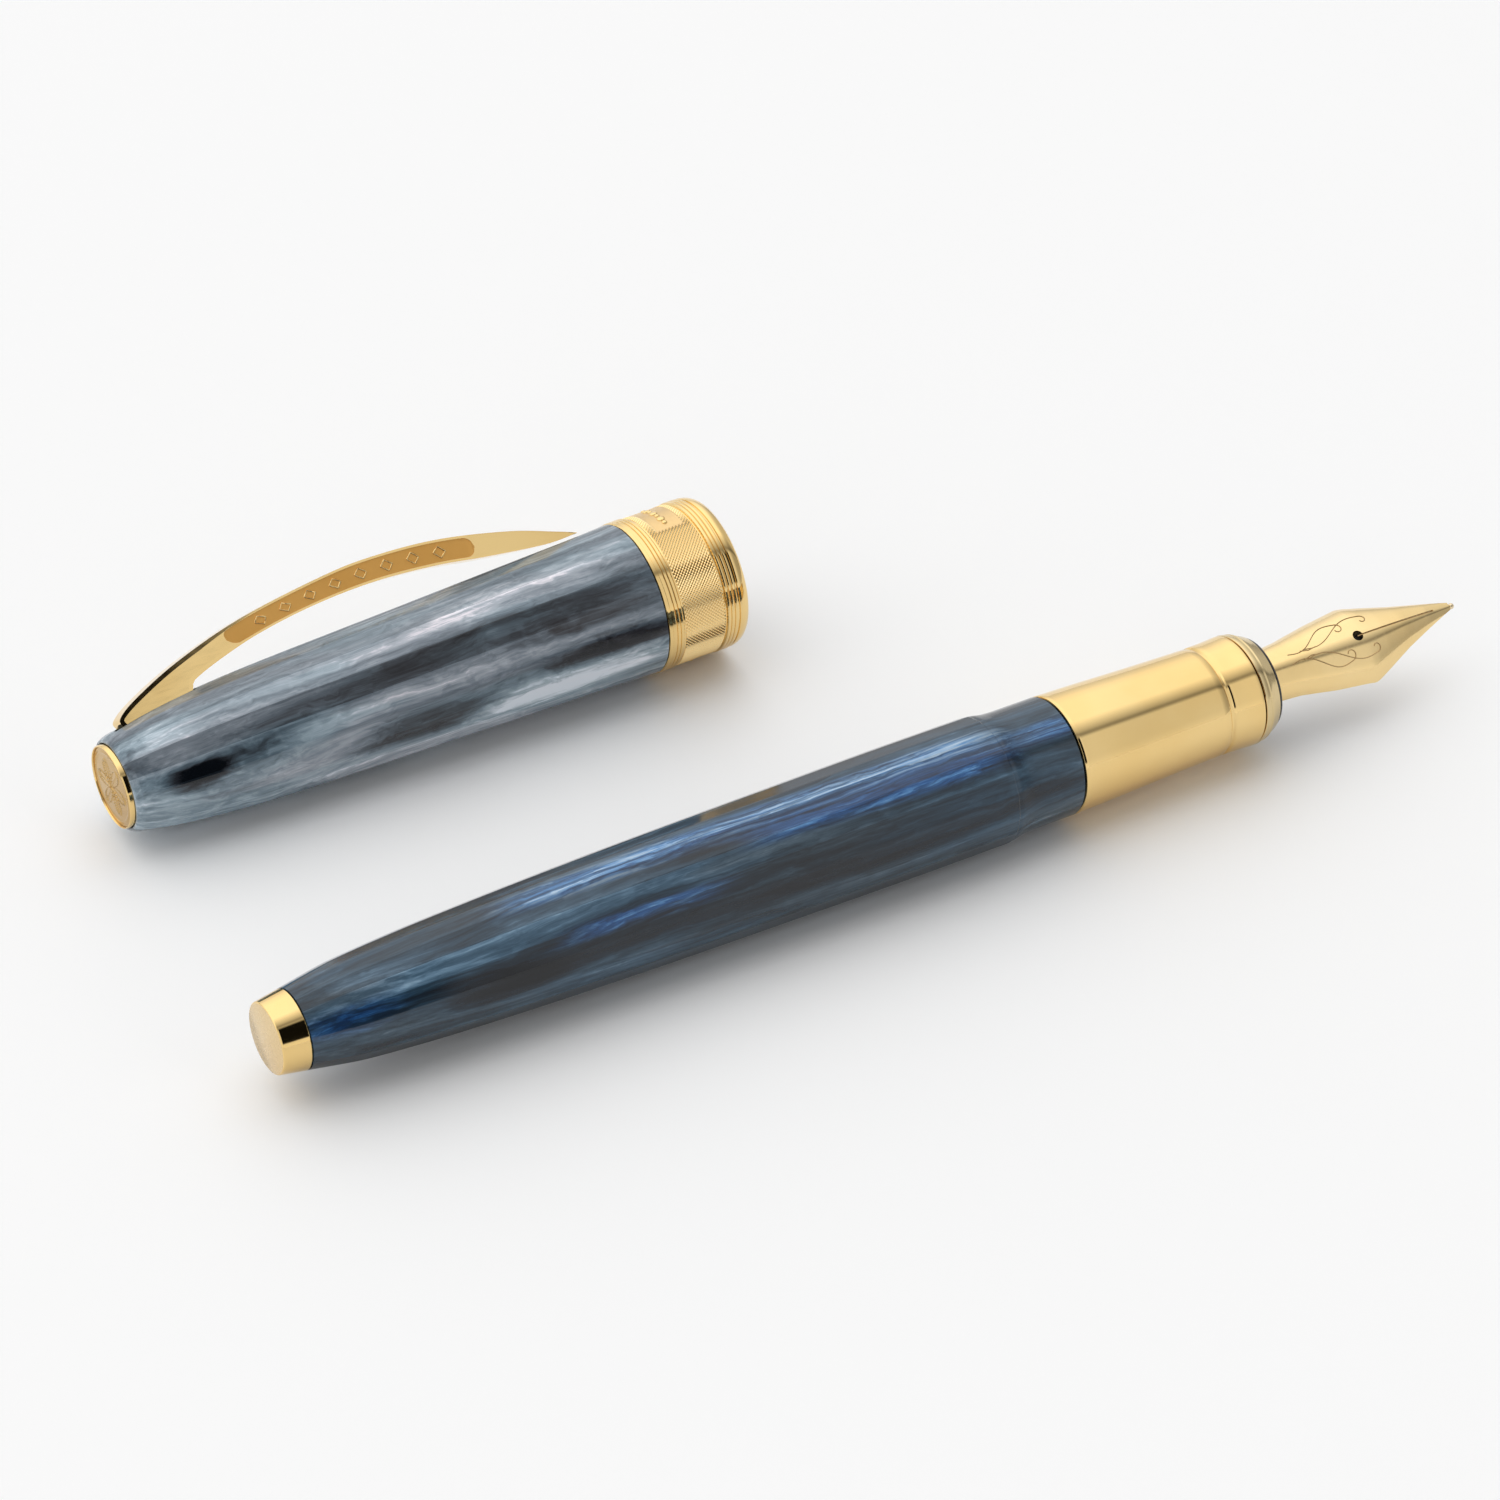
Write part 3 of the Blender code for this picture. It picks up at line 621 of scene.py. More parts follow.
barrel_outside = smooth_through(
    [
        (FERRULE_END + 0.08, 3.95, 0.3), (4.6, 4.28, 0.8), (7.6, 4.76, 1.0), (10.7, 5.05, 1.0),
        (15.4, 5.36, 1.0), (20.0, 5.57, 1.0), (26.0, 5.79, 1.0), (33.0, 5.98, 1.0), (42.0, 6.15, 1.0),
        (54.0, 6.29, 1.0), (65.0, BARREL_R, 1.0), (STEP_X - 0.3, BARREL_R, 1.0),
    ],
    5,
)
barrel_neck = smooth_through(
    [
        (STEP_X, BARREL_R - 0.01, 0.9), (STEP_X + 0.15, BARREL_R - 0.09, 0.5),
        (STEP_X + 0.55, BARREL_R - 0.11, 0.25), (STEP_X + 1.2, 6.15, 0.05),
        (STEP_X + 1.9, NECK_R + 0.07, 0.0), (STEP_X + 3.0, NECK_R, 0.0),
    ],
    4,
)
make_piece(
    "barrel_resin",
    turned(
        barrel_outside
        + barrel_neck
        + [(NECK_END - 0.1, NECK_R), (NECK_END, NECK_R - 0.1)]
        + [(NECK_END, 5.35), (72.6, 5.35), (72.6, 4.5), (15.0, 4.5), (13.0, 3.6)]
        + [(10.0, 3.6), (10.0, 1.35), (FERRULE_END + 0.08, 1.35)]
    ),
    PEN, "barrel", [BARREL_RESIN], ["barrel_shell"], sharp=RESIN_CREASE,
)
ferrule_outline = [(0.0, 0.0), (0.0, 3.36), (0.05, 3.45), (0.12, 3.5), (0.17, 3.51), (2.56, 3.9)]
ferrule_outline += [(2.61, 3.905), (FERRULE_END, 3.86), (FERRULE_END, 1.5), (1.0, 1.5), (1.0, 0.0)]
make_piece(
    "tail_cone", turned(ferrule_outline, FINE_SIDES, [1] + [0] * (len(ferrule_outline) - 1)), PEN,
    "barrel", [GOLD, SATIN_GOLD], ["tail_ferrule"],
)

# ---------------------------------------------------------------- section


# The outline of one ridge of a thread, as (share of its width, share of its depth)
RIDGE = ((0.0, -1.0), (0.3, 0.0), (0.55, 0.0), (0.85, -1.0))


def ridges(profile, start, width, count, radius, depth):
    """Outline points of a run of equal ridges."""
    starts = [start + k * width for k in range(count)]
    return [(x + along * width, radius + height * depth) for x in starts for along, height in profile]


grip = [(GRIP_START, NECK_R - 0.14), (GRIP_START + 0.05, NECK_R - 0.05), (GRIP_START + 0.16, NECK_R)]
grip += smooth_through([(84.6, 5.95), (88.5, 5.85), (93.0, 5.68), (97.0, 5.55), (101.05, 5.44)], 6)
grip += [(101.12, 5.41), (101.19, 5.35), (101.25, 5.28), (101.46, 5.28), (101.52, 5.35), (101.6, 5.43)]
grip += smooth_through([(101.75, 5.465), (103.4, 5.5), (GRIP_END - 0.12, 5.575)], 5)
grip += [(GRIP_END - 0.04, 5.56), (GRIP_END, 5.5), (GRIP_END, 3.65), (104.2, 3.65), (104.2, 4.85)]
grip += [(85.0, 4.85), (85.0, 5.3), (GRIP_START, 5.3)]
make_piece(
    "section_grip", turned(grip, 192), PEN, "section", [GOLD], ["section_shell"], sharp=28
)
make_piece(
    "section_spigot",
    turned(ridges(RIDGE, 75.0, 0.8, 16, 4.65, 0.28) + [(88.0, 4.4), (88.0, 4.0), (75.0, 4.0)], 96), PEN,
    "section", [STEEL], ["section_thread"],
)
lip = [(GRIP_END + 0.1, 5.42), (GRIP_END + 0.16, 5.54), (GRIP_END + 0.3, 5.57), (105.75, 5.47), (105.8, 5.41)]
lip += [(105.92, 5.41), (105.97, 5.45), (106.2, 5.37), (106.5, 5.2), (106.95, 5.0), (107.13, 4.9)]
lip += [(LIP_END, 4.78), (LIP_END, 3.65), (GRIP_END + 0.1, 3.65)]
make_piece(
    "lip_steel", turned(lip, FINE_SIDES), PEN, "section", [PALE_GOLD], ["lip_ring"], sharp=28
)

# ---------------------------------------------------------------- nib unit

# (station, half width, radius of the arched section, height of its top above the axis)
NIB_ROWS = [
    (98.0, 2.84, 2.9, 2.9),
    (COLLAR_END + 0.4, 2.84, 2.9, 2.9),
    (111.0, 3.08, 3.25, 2.89),
    (115.0, 3.75, 4.1, 2.88),
    (118.6, 4.18, 4.72, 2.87),
    (119.1, 4.26, 4.8, 2.865),
    (119.5, 4.26, 4.78, 2.86),
    (120.0, 4.12, 4.64, 2.85),
    (121.5, 3.5, 3.95, 2.81),
    (124.0, 2.42, 2.75, 2.7),
    (127.0, 1.35, 1.65, 2.46),
    (NIB_TIP - 0.65, 0.4, 0.8, 2.12),
]
NIB_STATION_STEP = 0.45
NIB_ARC_STEPS = 36


def nib_row(x):
    table = np.array(NIB_ROWS)
    return [float(np.interp(x, table[:, 0], table[:, column])) for column in (1, 2, 3)]


def nib_section(x):
    half_width, arc_radius, top = nib_row(x)
    spread = math.asin(min(1.0, half_width / arc_radius))
    centre = top - arc_radius
    points = []
    for radius, sign in ((arc_radius, 1), (arc_radius - NIB_SHEET, -1)):
        for k in range(NIB_ARC_STEPS + 1):
            angle = sign * spread * (2 * k / NIB_ARC_STEPS - 1)
            points.append((x, radius * math.sin(angle), centre + radius * math.cos(angle)))
    return points


def on_nib(x, y, height=0.0):
    """A point of the nib's upper face, raised by height."""
    _, arc_radius, top = nib_row(x)
    return (x, y, top - arc_radius + math.sqrt(arc_radius**2 - y**2) + height)


nib_stations = [98.0, 104.0, 107.5]
nib_stations += list(np.arange(COLLAR_END, NIB_TIP - 0.7, NIB_STATION_STEP))
nib_stations += [row[0] for row in NIB_ROWS[2:]]
nib_stations = sorted(set(round(x, 3) for x in nib_stations))
nib = make_piece(
    "nib_blade", lofted([nib_section(x) for x in nib_stations]), NIB, "nib_unit", [NIB_GOLD],
    ["nib"],
)
carve(
    nib,
    [
        post(BREATHER_X, BREATHER_R, 1.5, 4.0),
        block((BREATHER_X, -SLIT_WIDTH / 2, 1.0), (SLIT_END, SLIT_WIDTH / 2, 3.4)),
    ],
)


# (station where it starts, reach along the nib, radius of its curl)
TENDRILS = ((110.6, 6.4, 0.62), (112.4, 7.6, 0.5))
STEM_STEPS = 24
CURL_STEPS = 21


def scroll(side):
    """Engraved S-shaped tendrils with curled ends, on one side of the nib."""
    paths = []
    for start, reach, curl in TENDRILS:
        stem = []
        for k in range(STEM_STEPS + 1):
            t = k / STEM_STEPS
            stem.append((start + reach * t, side * (0.55 + 1.55 * t - 0.5 * math.sin(math.pi * 2 * t))))
        end_x, end_y = stem[-1]
        for k in range(1, CURL_STEPS + 1):
            turn = 1.4 * math.pi * k / CURL_STEPS
            shrink = curl * (1 - 0.55 * k / CURL_STEPS)
            x = end_x + shrink * math.sin(turn)
            stem.append((x, end_y - side * (curl - shrink * math.cos(turn))))
        paths.append(stem)
    leaf_start = TENDRILS[0][0] + 1.4
    paths.append([(leaf_start + x, side * y) for x, y in ((0.0, 0.5), (0.9, 0.28), (1.8, 0.42))])
    return paths


etched_and_slit_shade = []
for side in (-1, 1):
    for path in scroll(side):
        etched_and_slit_shade.append(tube([on_nib(x, y, 0.012) for x, y in path], 0.05))
# Painted shade: a dark wire sunk in the slit stands in for the shade seen between its walls
etched_and_slit_shade.append(tube([on_nib(x, 0.0, -0.12) for x in np.linspace(BREATHER_X, SLIT_END, 24)], 0.075))
# The engraving and the slit's painted shade, in one piece
make_piece("nib_engraving_and_slit_shade", joined(etched_and_slit_shade), NIB, "nib_unit", [NIB_ETCH_AND_SLIT_SHADE], sharp=60)

BALL_R = 0.31
BALL_HALF_LENGTH = 0.3
BALL_HEIGHT = 1.8
BALL_RINGS = 16
ball = []
ball_turns = circle_turns(24)
for k in range(BALL_RINGS + 1):
    turn = math.pi * k / BALL_RINGS
    ring_radius = max(BALL_R * math.sin(turn), 0.002)
    x = NIB_TIP - BALL_HALF_LENGTH - BALL_HALF_LENGTH * math.cos(turn)
    ball.append([around(x, ring_radius, t, BALL_HEIGHT) for t in ball_turns])
make_piece("nib_point", lofted(ball), NIB, "nib_unit", [TIPPING], ["nib_tipping"], sharp=60)

collar = [(86.2, 1.35), (92.0, 1.35), (92.0, 3.35), (LIP_END + 0.08, 3.35), (LIP_END + 0.08, 4.68)]
collar += [(LIP_END + 0.16, 4.73), (LIP_END + 0.32, 4.64), (COLLAR_END - 0.2, 4.4), (COLLAR_END, 4.1)]
collar += [(COLLAR_END, 3.0), (94.0, 3.0), (94.0, 0.45), (86.2, 0.45)]
make_piece("nib_collar", turned(collar), PEN, "nib_unit", [BLACK], ["nib_housing"])

# (station, half width, half height, height of the centre)
FEED_ROWS = np.array(
    [
        (95.0, 2.4, 2.4, 0.0),
        (109.0, 2.4, 2.4, 0.0),
        (113.0, 2.25, 2.05, 0.22),
        (117.0, 1.9, 1.6, 0.55),
        (120.5, 1.4, 1.05, 1.0),
        (123.5, 0.75, 0.5, 1.35),
    ]
)
FIN_START = 109.2
FIN_PITCH = 0.55
FIN_GAP = 0.28
FIN_EDGE = 0.02
FIN_DEPTH = 0.32
FIN_COUNT = 16
FEED_SIDES = 40


def feed_section(x, depth=0.0):
    half_width, half_height, centre = (np.interp(x, FEED_ROWS[:, 0], FEED_ROWS[:, c]) for c in (1, 2, 3))
    points = []
    for k in range(FEED_SIDES):
        turn = 2 * math.pi * k / FEED_SIDES
        inward = 1.0 - depth * min(1.0, max(0.0, 0.35 - math.sin(turn)))
        y, z = half_width * math.cos(turn) * inward, half_height * math.sin(turn) * inward
        points.append((x, y, centre + z))
    return points


feed_sections = [feed_section(95.0), feed_section(FIN_START - 0.3)]
for k in range(FIN_COUNT):
    x = FIN_START + k * FIN_PITCH
    feed_sections += [feed_section(x), feed_section(x + FIN_EDGE, FIN_DEPTH)]
    feed_sections += [feed_section(x + FIN_GAP, FIN_DEPTH), feed_section(x + FIN_GAP + FIN_EDGE)]
feed_sections += [feed_section(x) for x in (118.6, 120.5, 122.2, 123.2)]
feed_sections.append([(123.5, y * 0.6, 1.35 + (z - 1.35) * 0.6) for _, y, z in feed_section(123.5)])
make_piece(
    "feed_fins", lofted(feed_sections), NIB, "nib_unit", [FEED_BLACK], ["feed"], sharp=35
)

# ---------------------------------------------------------------- converter

FLUTE_COUNT = 48
FLUTE_DEPTH = 0.14
FLUTE_START = 18.6
FLUTE_END = 28.3


def flutes(x, angles):
    """The grooves along the knob's grip, as a change of radius."""
    if FLUTE_START < x < FLUTE_END:
        return -FLUTE_DEPTH * np.cos(FLUTE_COUNT / 2 * angles) ** 2
    return np.zeros(len(angles))


knob = [(18.0, 0.0), (18.0, 2.7), (18.15, 2.95), (18.5, 3.18), (18.62, 3.24), (28.25, 3.24), (28.5, 3.2)]
knob += [(28.8, 3.05), (28.8, 2.9), (43.9, 2.9), (43.9, 1.45), (41.0, 1.45), (41.0, 1.75), (19.0, 1.75)]
knob += [(19.0, 0.0)]
make_piece(
    "knob_fluted", turned(knob, 192, relief=flutes), PEN, "converter_knob", [BLACK],
    ["converter_knob"],
)
lead_screw = [(19.6, 0.0), *ridges(RIDGE, 19.6, 0.9, 30, 1.3, 0.18), (46.9, 1.12), (46.9, 0.0)]
make_piece("lead_screw", turned(lead_screw, 48), PEN, "piston", [STEEL], ["piston_rod"])
sleeve = [(30.0, 3.66), (30.08, 3.74), (31.2, 3.75), (31.3, 3.68), (31.5, 3.68), (31.6, 3.75), (46.4, 3.75)]
sleeve += [(46.5, 3.68), (46.7, 3.68), (46.8, 3.75), (47.9, 3.74), (48.0, 3.66), (48.0, 3.42), (31.0, 3.42)]
sleeve += [(31.0, 3.08), (30.0, 3.08)]
make_piece(
    "converter_ring", turned(sleeve), PEN, "converter", [GOLD], ["converter_sleeve"]
)
seal = [(47.0, 0.0), (47.0, 2.3), *smooth_through([(47.15, 2.4), (47.5, 2.55), (48.1, 2.55), (48.5, 2.2)], 3)]
seal += smooth_through([(50.5, 2.2), (50.8, 2.5), (51.2, 2.57), (51.6, 2.5), (52.0, 2.1)], 3)
seal += [(52.3, 1.2), (52.4, 0.0)]
make_piece("piston_seal", turned(seal, 96), PEN, "piston", [RUBBER], ["piston_head"])

# ---------------------------------------------------------------- cap

cap_outside = smooth_through(
    [
        (1.3, 4.86, 0.3), (3.9, 5.42, 1.0), (6.35, 5.79, 1.0), (9.0, 6.08, 1.0), (12.9, 6.4, 1.0),
        (18.0, 6.65, 1.0), (25.9, 6.88, 1.0), (35.2, 7.14, 1.0), (44.6, 7.42, 1.0), (51.0, 7.58, 0.9),
        (54.2, 7.66, 0.6), (BAND_START - 0.08, 7.72, 0.1),
    ],
    5,
)
cap_shell = make_piece(
    "cap_resin",
    turned(
        [(0.55, 4.42, 0.0), (0.62, 4.55, 0.0), (0.85, 4.68, 0.1)]
        + cap_outside
        + [(BAND_START - 0.08, 7.0), (64.4, 7.0), (64.4, 6.55), (37.3, 6.55), (37.3, 5.95)]
        + [(32.8, 5.95), (32.8, 5.2), (20.0, 5.2), (14.0, 4.4), (9.5, 3.5)]
        + [(9.5, 3.0), (1.1, 3.0), (1.1, 4.3), (0.55, 4.3)]
    ),
    CAP, "cap", [CAP_RESIN], ["cap_shell"],
)
# The opening in the crown for the clip's root
CLIP_SLOT = ((1.95, -1.32, 2.2), (11.0, 1.32, 9.0))
slot_verts, *slot_rest = block(*CLIP_SLOT)
turn = Matrix.Rotation(CLIP_ROLL, 4, "X")
carve(cap_shell, [([tuple(turn @ Vector(v)) for v in slot_verts], *slot_rest)], RESIN_CREASE)

# The band: ring beads, a knurled belt with plain panels, ring beads and a rounded lip
BELT_START = 58.62
BELT_END = 63.08
BELT_EDGE = 0.06
BELT_R = 7.62
KNURL_RISE = 0.03
KNURL_HEIGHT = 0.058
KNURL_COLUMNS = 252
KNURL_ROWS = 24
PANEL_ANGLES = (72.0, 252.0)
PANEL_HALF = 24.0
PANEL_MARGIN = 0.14
# A bead's outline, as (share of its width, share of its depth)
BEAD = ((0.0, -1.0), (0.12, -0.25), (0.3, 0.0), (0.7, 0.0), (0.88, -0.25))
BEAD_DEPTH = 0.12


def beads(start, width, radius):
    """Outline points of a run of three rounded beads."""
    return [*ridges(BEAD, start, width, 3, radius, BEAD_DEPTH), (start + 3 * width, radius - BEAD_DEPTH)]


def panel_share(degrees):
    """How far a place round the band is inside a plain panel, 0 to 1."""
    share = 0.0
    for centre in PANEL_ANGLES:
        away = abs((degrees - centre + 180) % 360 - 180)
        share = max(share, min(1.0, max(0.0, PANEL_HALF - away + 1.0)))
    return share


band_outline = [(BAND_START, 7.62), (BAND_START + 0.06, 7.74), (BAND_START + 0.14, 7.78)]
band_outline += [(57.1, 7.79), (57.16, 7.72), *beads(57.2, 0.4, 7.79)[1:]]
band_outline += [(58.46, 7.62), (BELT_START - BELT_EDGE, BELT_R)]
gap_row = len(band_outline) - 1
band_outline += [(BELT_END + BELT_EDGE, BELT_R), (63.24, 7.6), *beads(63.28, 0.42, 7.8)]
band_outline += [(64.6, 7.58), (64.68, 7.6), (64.74, 7.74), (64.9, 7.77), (65.3, 7.7), (65.6, 7.58)]
band_outline += [(65.8, 7.42), (65.88, 7.28), (CAP_LENGTH, 7.1), (CAP_LENGTH, 6.4), (65.82, 6.22)]
band_outline += [(65.6, 6.15), (65.1, 6.15), (65.1, 7.08), (BAND_START, 7.08)]

# The belt's own mesh closes the gap that is left here
band_verts, band_faces, _ = turned(band_outline, KNURL_COLUMNS)
band_faces = [face for k, face in enumerate(band_faces) if k // KNURL_COLUMNS != gap_row]

belt_verts, belt_faces, belt_indices = [], [], []
angles, _ = round_angles(KNURL_COLUMNS)
stations = [BELT_START - BELT_EDGE, BELT_START]
stations += [*np.linspace(BELT_START + 0.02, BELT_END - 0.02, KNURL_ROWS + 1), BELT_END, BELT_END + BELT_EDGE]
for row, x in enumerate(stations):
    knurled = 2 <= row < len(stations) - 2
    framed = PANEL_MARGIN < (x - BELT_START) / (BELT_END - BELT_START) < 1 - PANEL_MARGIN
    for column, angle in enumerate(angles):
        inside = panel_share(math.degrees(angle)) if framed else 0.0
        peak = KNURL_HEIGHT if (row + column) % 2 == 0 else -KNURL_HEIGHT
        radius = BELT_R + (KNURL_RISE + peak * (1 - inside) if knurled else 0.0)
        belt_verts.append(around(x, radius, angle))
        belt_indices += [2 if inside > 0.5 else 1] * 2
for row in range(len(stations) - 1):
    for column in range(KNURL_COLUMNS):
        after = (column + 1) % KNURL_COLUMNS
        a, b = row * KNURL_COLUMNS + column, row * KNURL_COLUMNS + after
        d, c = a + KNURL_COLUMNS, b + KNURL_COLUMNS
        if (row + column) % 2 == 0:
            belt_faces += [(a, b, c), (a, c, d)]
        else:
            belt_faces += [(a, b, d), (b, c, d)]
belt_shape = (belt_verts, belt_faces, belt_indices[: len(belt_faces)])
make_piece(
    "cap_band_knurled", joined([(band_verts, band_faces, [0] * len(band_faces)), belt_shape]), CAP, "cap",
    [GOLD, BAND_GOLD, PANEL_GOLD], ["cap_band"], sharp=22,
)

# A stud's outline, as (share of its radius, height above the belt)
STUD = ((1.0, -0.05), (1.0, 0.05), (0.86, 0.10), (0.6, 0.14), (0.1, 0.16))
STUD_SPACING = 5.6
STUD_RADII = (0.42, 0.27)


def stud(x, degrees, radius):
    """A low round stud on the band."""
    outward = Vector(around(0.0, 1.0, math.radians(degrees)))
    centre = Vector((x, 0, 0)) + (BELT_R + KNURL_RISE) * outward
    side = Vector((1, 0, 0))
    other = outward.cross(side)
    return lofted([ring_about(centre + h * outward, side, other, radius * share, 20) for share, h in STUD])


# A plain row of studs on each panel, large and small in turn
belt_middle = (BELT_START + BELT_END) / 2
studs = []
for centre in PANEL_ANGLES:
    for k in range(-3, 4):
        studs.append(stud(belt_middle, centre + STUD_SPACING * k, STUD_RADII[k % 2]))
make_piece("band_ornament", joined(studs), CAP, "cap", [GOLD], sharp=50)

bezel = [(0.3, 4.03), (0.06, 4.03), (0.02, 4.06), (0.02, 4.12), (0.08, 4.17), (0.2, 4.19), (0.9, 4.2)]
bezel += [(1.0, 4.2), (1.0, 3.78), (0.3, 3.78)]
make_piece(
    "bezel_ring", turned(bezel, FINE_SIDES), CAP, "cap", [GOLD], ["finial_bezel"], sharp=40
)

MEDAL_R = 4.0
MEDAL_SIDES = 144
MEDAL_RIM_R = 3.5
PETAL_LENGTH = 2.8


def medallion_height(radius, angle):
    """Relief of the finial's face: a six-petalled rosette within a rim."""
    petal = abs(math.cos(3 * angle)) ** 0.7 * PETAL_LENGTH
    line = max(0.0, 1 - abs(radius - petal) / 0.16)
    rim = max(0.0, 1 - abs(radius - MEDAL_RIM_R) / 0.2)
    vein = max(0.0, 1 - abs(math.sin(3 * angle)) * radius / 0.12) if radius < petal else 0.0
    eye = max(0.0, 1 - radius / 0.45)
    return 0.11 * line + 0.08 * rim + 0.06 * vein + 0.11 * eye


medal_verts, medal_radii = [], [*np.linspace(0.02, 3.8, 48), 3.9, 3.97, MEDAL_R]
medal_turns = circle_turns(MEDAL_SIDES)
for radius in medal_radii:
    dome = 0.13 + 0.09 * (radius / MEDAL_R) ** 2.2
    for angle in medal_turns:
        x = dome - medallion_height(radius, angle) + (0.04 if radius == MEDAL_R else 0.0)
        medal_verts.append(around(x, radius, angle))
medal_back = [(0.28, MEDAL_R), (0.28, 3.69), (0.95, 3.69)]
for x, radius in medal_back:
    medal_verts += [around(x, radius, angle) for angle in medal_turns]
medal_faces = grid_faces(len(medal_radii) + len(medal_back), MEDAL_SIDES)
medal_faces += end_faces(len(medal_verts), MEDAL_SIDES)
make_piece(
    "medallion_relief", (medal_verts, medal_faces, [0] * len(medal_faces)), CAP, "medallion",
    [MEDAL_GOLD], ["finial_medallion"], sharp=50,
)

# ---------------------------------------------------------------- clip

# The blade's upper and lower edges, as (station, distance from the cap's axis)
CLIP_UPPER = [(2.9, 4.9), (2.85, 5.8), (5.1, 7.15), (10.3, 9.15), (17.5, 10.98), (26.5, 12.15), (32.0, 12.38)]
CLIP_UPPER += [(39.0, 11.85), (46.5, 10.3), (51.3, 8.75), (53.6, 7.92)]
CLIP_LOWER = [(10.4, 5.3), (10.75, 6.3), (11.3, 6.95), (14.5, 8.0), (19.0, 9.05), (25.0, 9.8), (31.5, 10.0)]
CLIP_LOWER += [(38.0, 9.5), (43.5, 8.65), (50.0, 7.85), (53.5, 7.86)]
PANEL_START = 15.5
PANEL_END = 42.6
PANEL_SHARE = 0.40
PANEL_DEPTH = 0.08
BEVEL_SLOPE = math.tan(math.radians(5.0))
BEVEL_WIDTHS = ([3.0, 13.0, 19.0], [0.46, 0.42, 0.14])
BEVEL_SHARE = 0.25
PANEL_ROWS = (3, 11)
ROOT_HALF = 1.18
CLIP_COLUMNS = 240


def between(path, steps, wanted):
    """Points of a path where the steps counted along it reach the wanted values."""
    return np.stack([np.interp(wanted, steps, path[:, k]) for k in (0, 1)], -1)


def resampled(points, count):
    """Points evenly spaced along a smooth curve."""
    path = np.array(smooth_through(points, 12))
    steps = np.r_[0, np.cumsum(np.linalg.norm(np.diff(path, axis=0), axis=1))]
    return between(path, steps, np.linspace(0, steps[-1], count))


upper = resampled(CLIP_UPPER, CLIP_COLUMNS)
# Each point of the lower edge is near the upper one's, so that the bevels keep their width
lower_fine = resampled(CLIP_LOWER, 8 * CLIP_COLUMNS)
nearest = [np.argmin(np.linalg.norm(lower_fine - point, axis=1)) for point in upper]
even = np.linspace(0, len(lower_fine) - 1, CLIP_COLUMNS)
matched = 0.85 * np.maximum.accumulate(nearest) + 0.15 * even
matched[-1] = len(lower_fine) - 1
lower = between(lower_fine, np.arange(len(lower_fine)), matched)


def across_edge(edge, k, span):
    """The part of a span that is square to the edge at point k."""
    ahead = edge[min(k + 1, CLIP_COLUMNS - 1)] - edge[max(k - 1, 0)]
    return abs(ahead[0] * span[1] - ahead[1] * span[0]) / np.linalg.norm(ahead)


def clip_half(station):
    return float(np.interp(station, [0.0, 42.0, 53.6], [CLIP_HALF_THICKNESS, CLIP_HALF_THICKNESS, 0.4]))


def panel_half(middle, width):
    """Half the panel's share of the blade's depth at a station: full between round ends, 0 outside."""
    radius = PANEL_SHARE * width
    if middle < PANEL_START or middle > PANEL_END:
        return 0.0
    inset = min(middle - PANEL_START, PANEL_END - middle)
    if inset >= radius:
        return PANEL_SHARE
    return PANEL_SHARE * math.sqrt(max(0.0, 1 - (1 - inset / radius) ** 2))


clip_verts = []
for k, ((upper_x, upper_z), (lower_x, lower_z)) in enumerate(zip(upper, lower)):
    width = math.hypot(upper_x - lower_x, upper_z - lower_z)
    middle = (upper_x + lower_x) / 2
    half = clip_half(middle)
    bevel_width = float(np.interp(middle, *BEVEL_WIDTHS))
    spans = [max(across_edge(edge, k, upper[k] - lower[k]), 0.1) for edge in (upper, lower)]
    top_bevel, low_bevel = (min(bevel_width / span, BEVEL_SHARE) for span in spans)
    drop = bevel_width * BEVEL_SLOPE
    panel = panel_half(middle, width)
    sunk = PANEL_DEPTH if panel > 0 else 0.0
    side = [(0.0, half - drop), (top_bevel, half), (0.5 - panel, half), (0.5 - panel, half - sunk)]
    side += [(0.5 + panel, half - sunk), (0.5 + panel, half), (1 - low_bevel, half), (1.0, half - drop)]
    section = side + [(share, -y) for share, y in reversed(side)]
    for share, y in section:
        x = upper_x + (lower_x - upper_x) * share
        z = upper_z + (lower_z - upper_z) * share
        clip_verts.append((x, y, z))
row_length = len(clip_verts) // CLIP_COLUMNS
clip_faces = grid_faces(CLIP_COLUMNS, row_length)
clip_indices = [int(k % row_length in PANEL_ROWS) for k in range(len(clip_faces))] + [0, 0]
clip_faces += end_faces(len(clip_verts), row_length)
root = [(10.4, 5.3), (8.6, 3.2), (7.3, 1.2), (6.2, 0.75), (5.1, 1.2), (4.6, 2.6), (3.4, 4.0), (2.9, 4.9)]
root_shape = lofted([[(x, y, z) for x, z in root] for y in (-ROOT_HALF, ROOT_HALF)])
make_piece(
    "clip_blade", joined([(clip_verts, clip_faces, clip_indices), root_shape]), CROWN, "clip",
    [GOLD, BRUSHED_GOLD], ["clip"], sharp=4,
)


def on_clip(station, share, side):
    """A point on the sunk panel at a station of the blade's middle line."""
    rows = np.arange(CLIP_COLUMNS)
    place = np.interp(station, (upper + lower)[:, 0] / 2, rows)
    top, bottom = (between(edge, rows, place) for edge in (upper, lower))
    x, z = top + (bottom - top) * share
    return (float(x), side * (CLIP_HALF_THICKNESS - PANEL_DEPTH + 0.01), float(z))


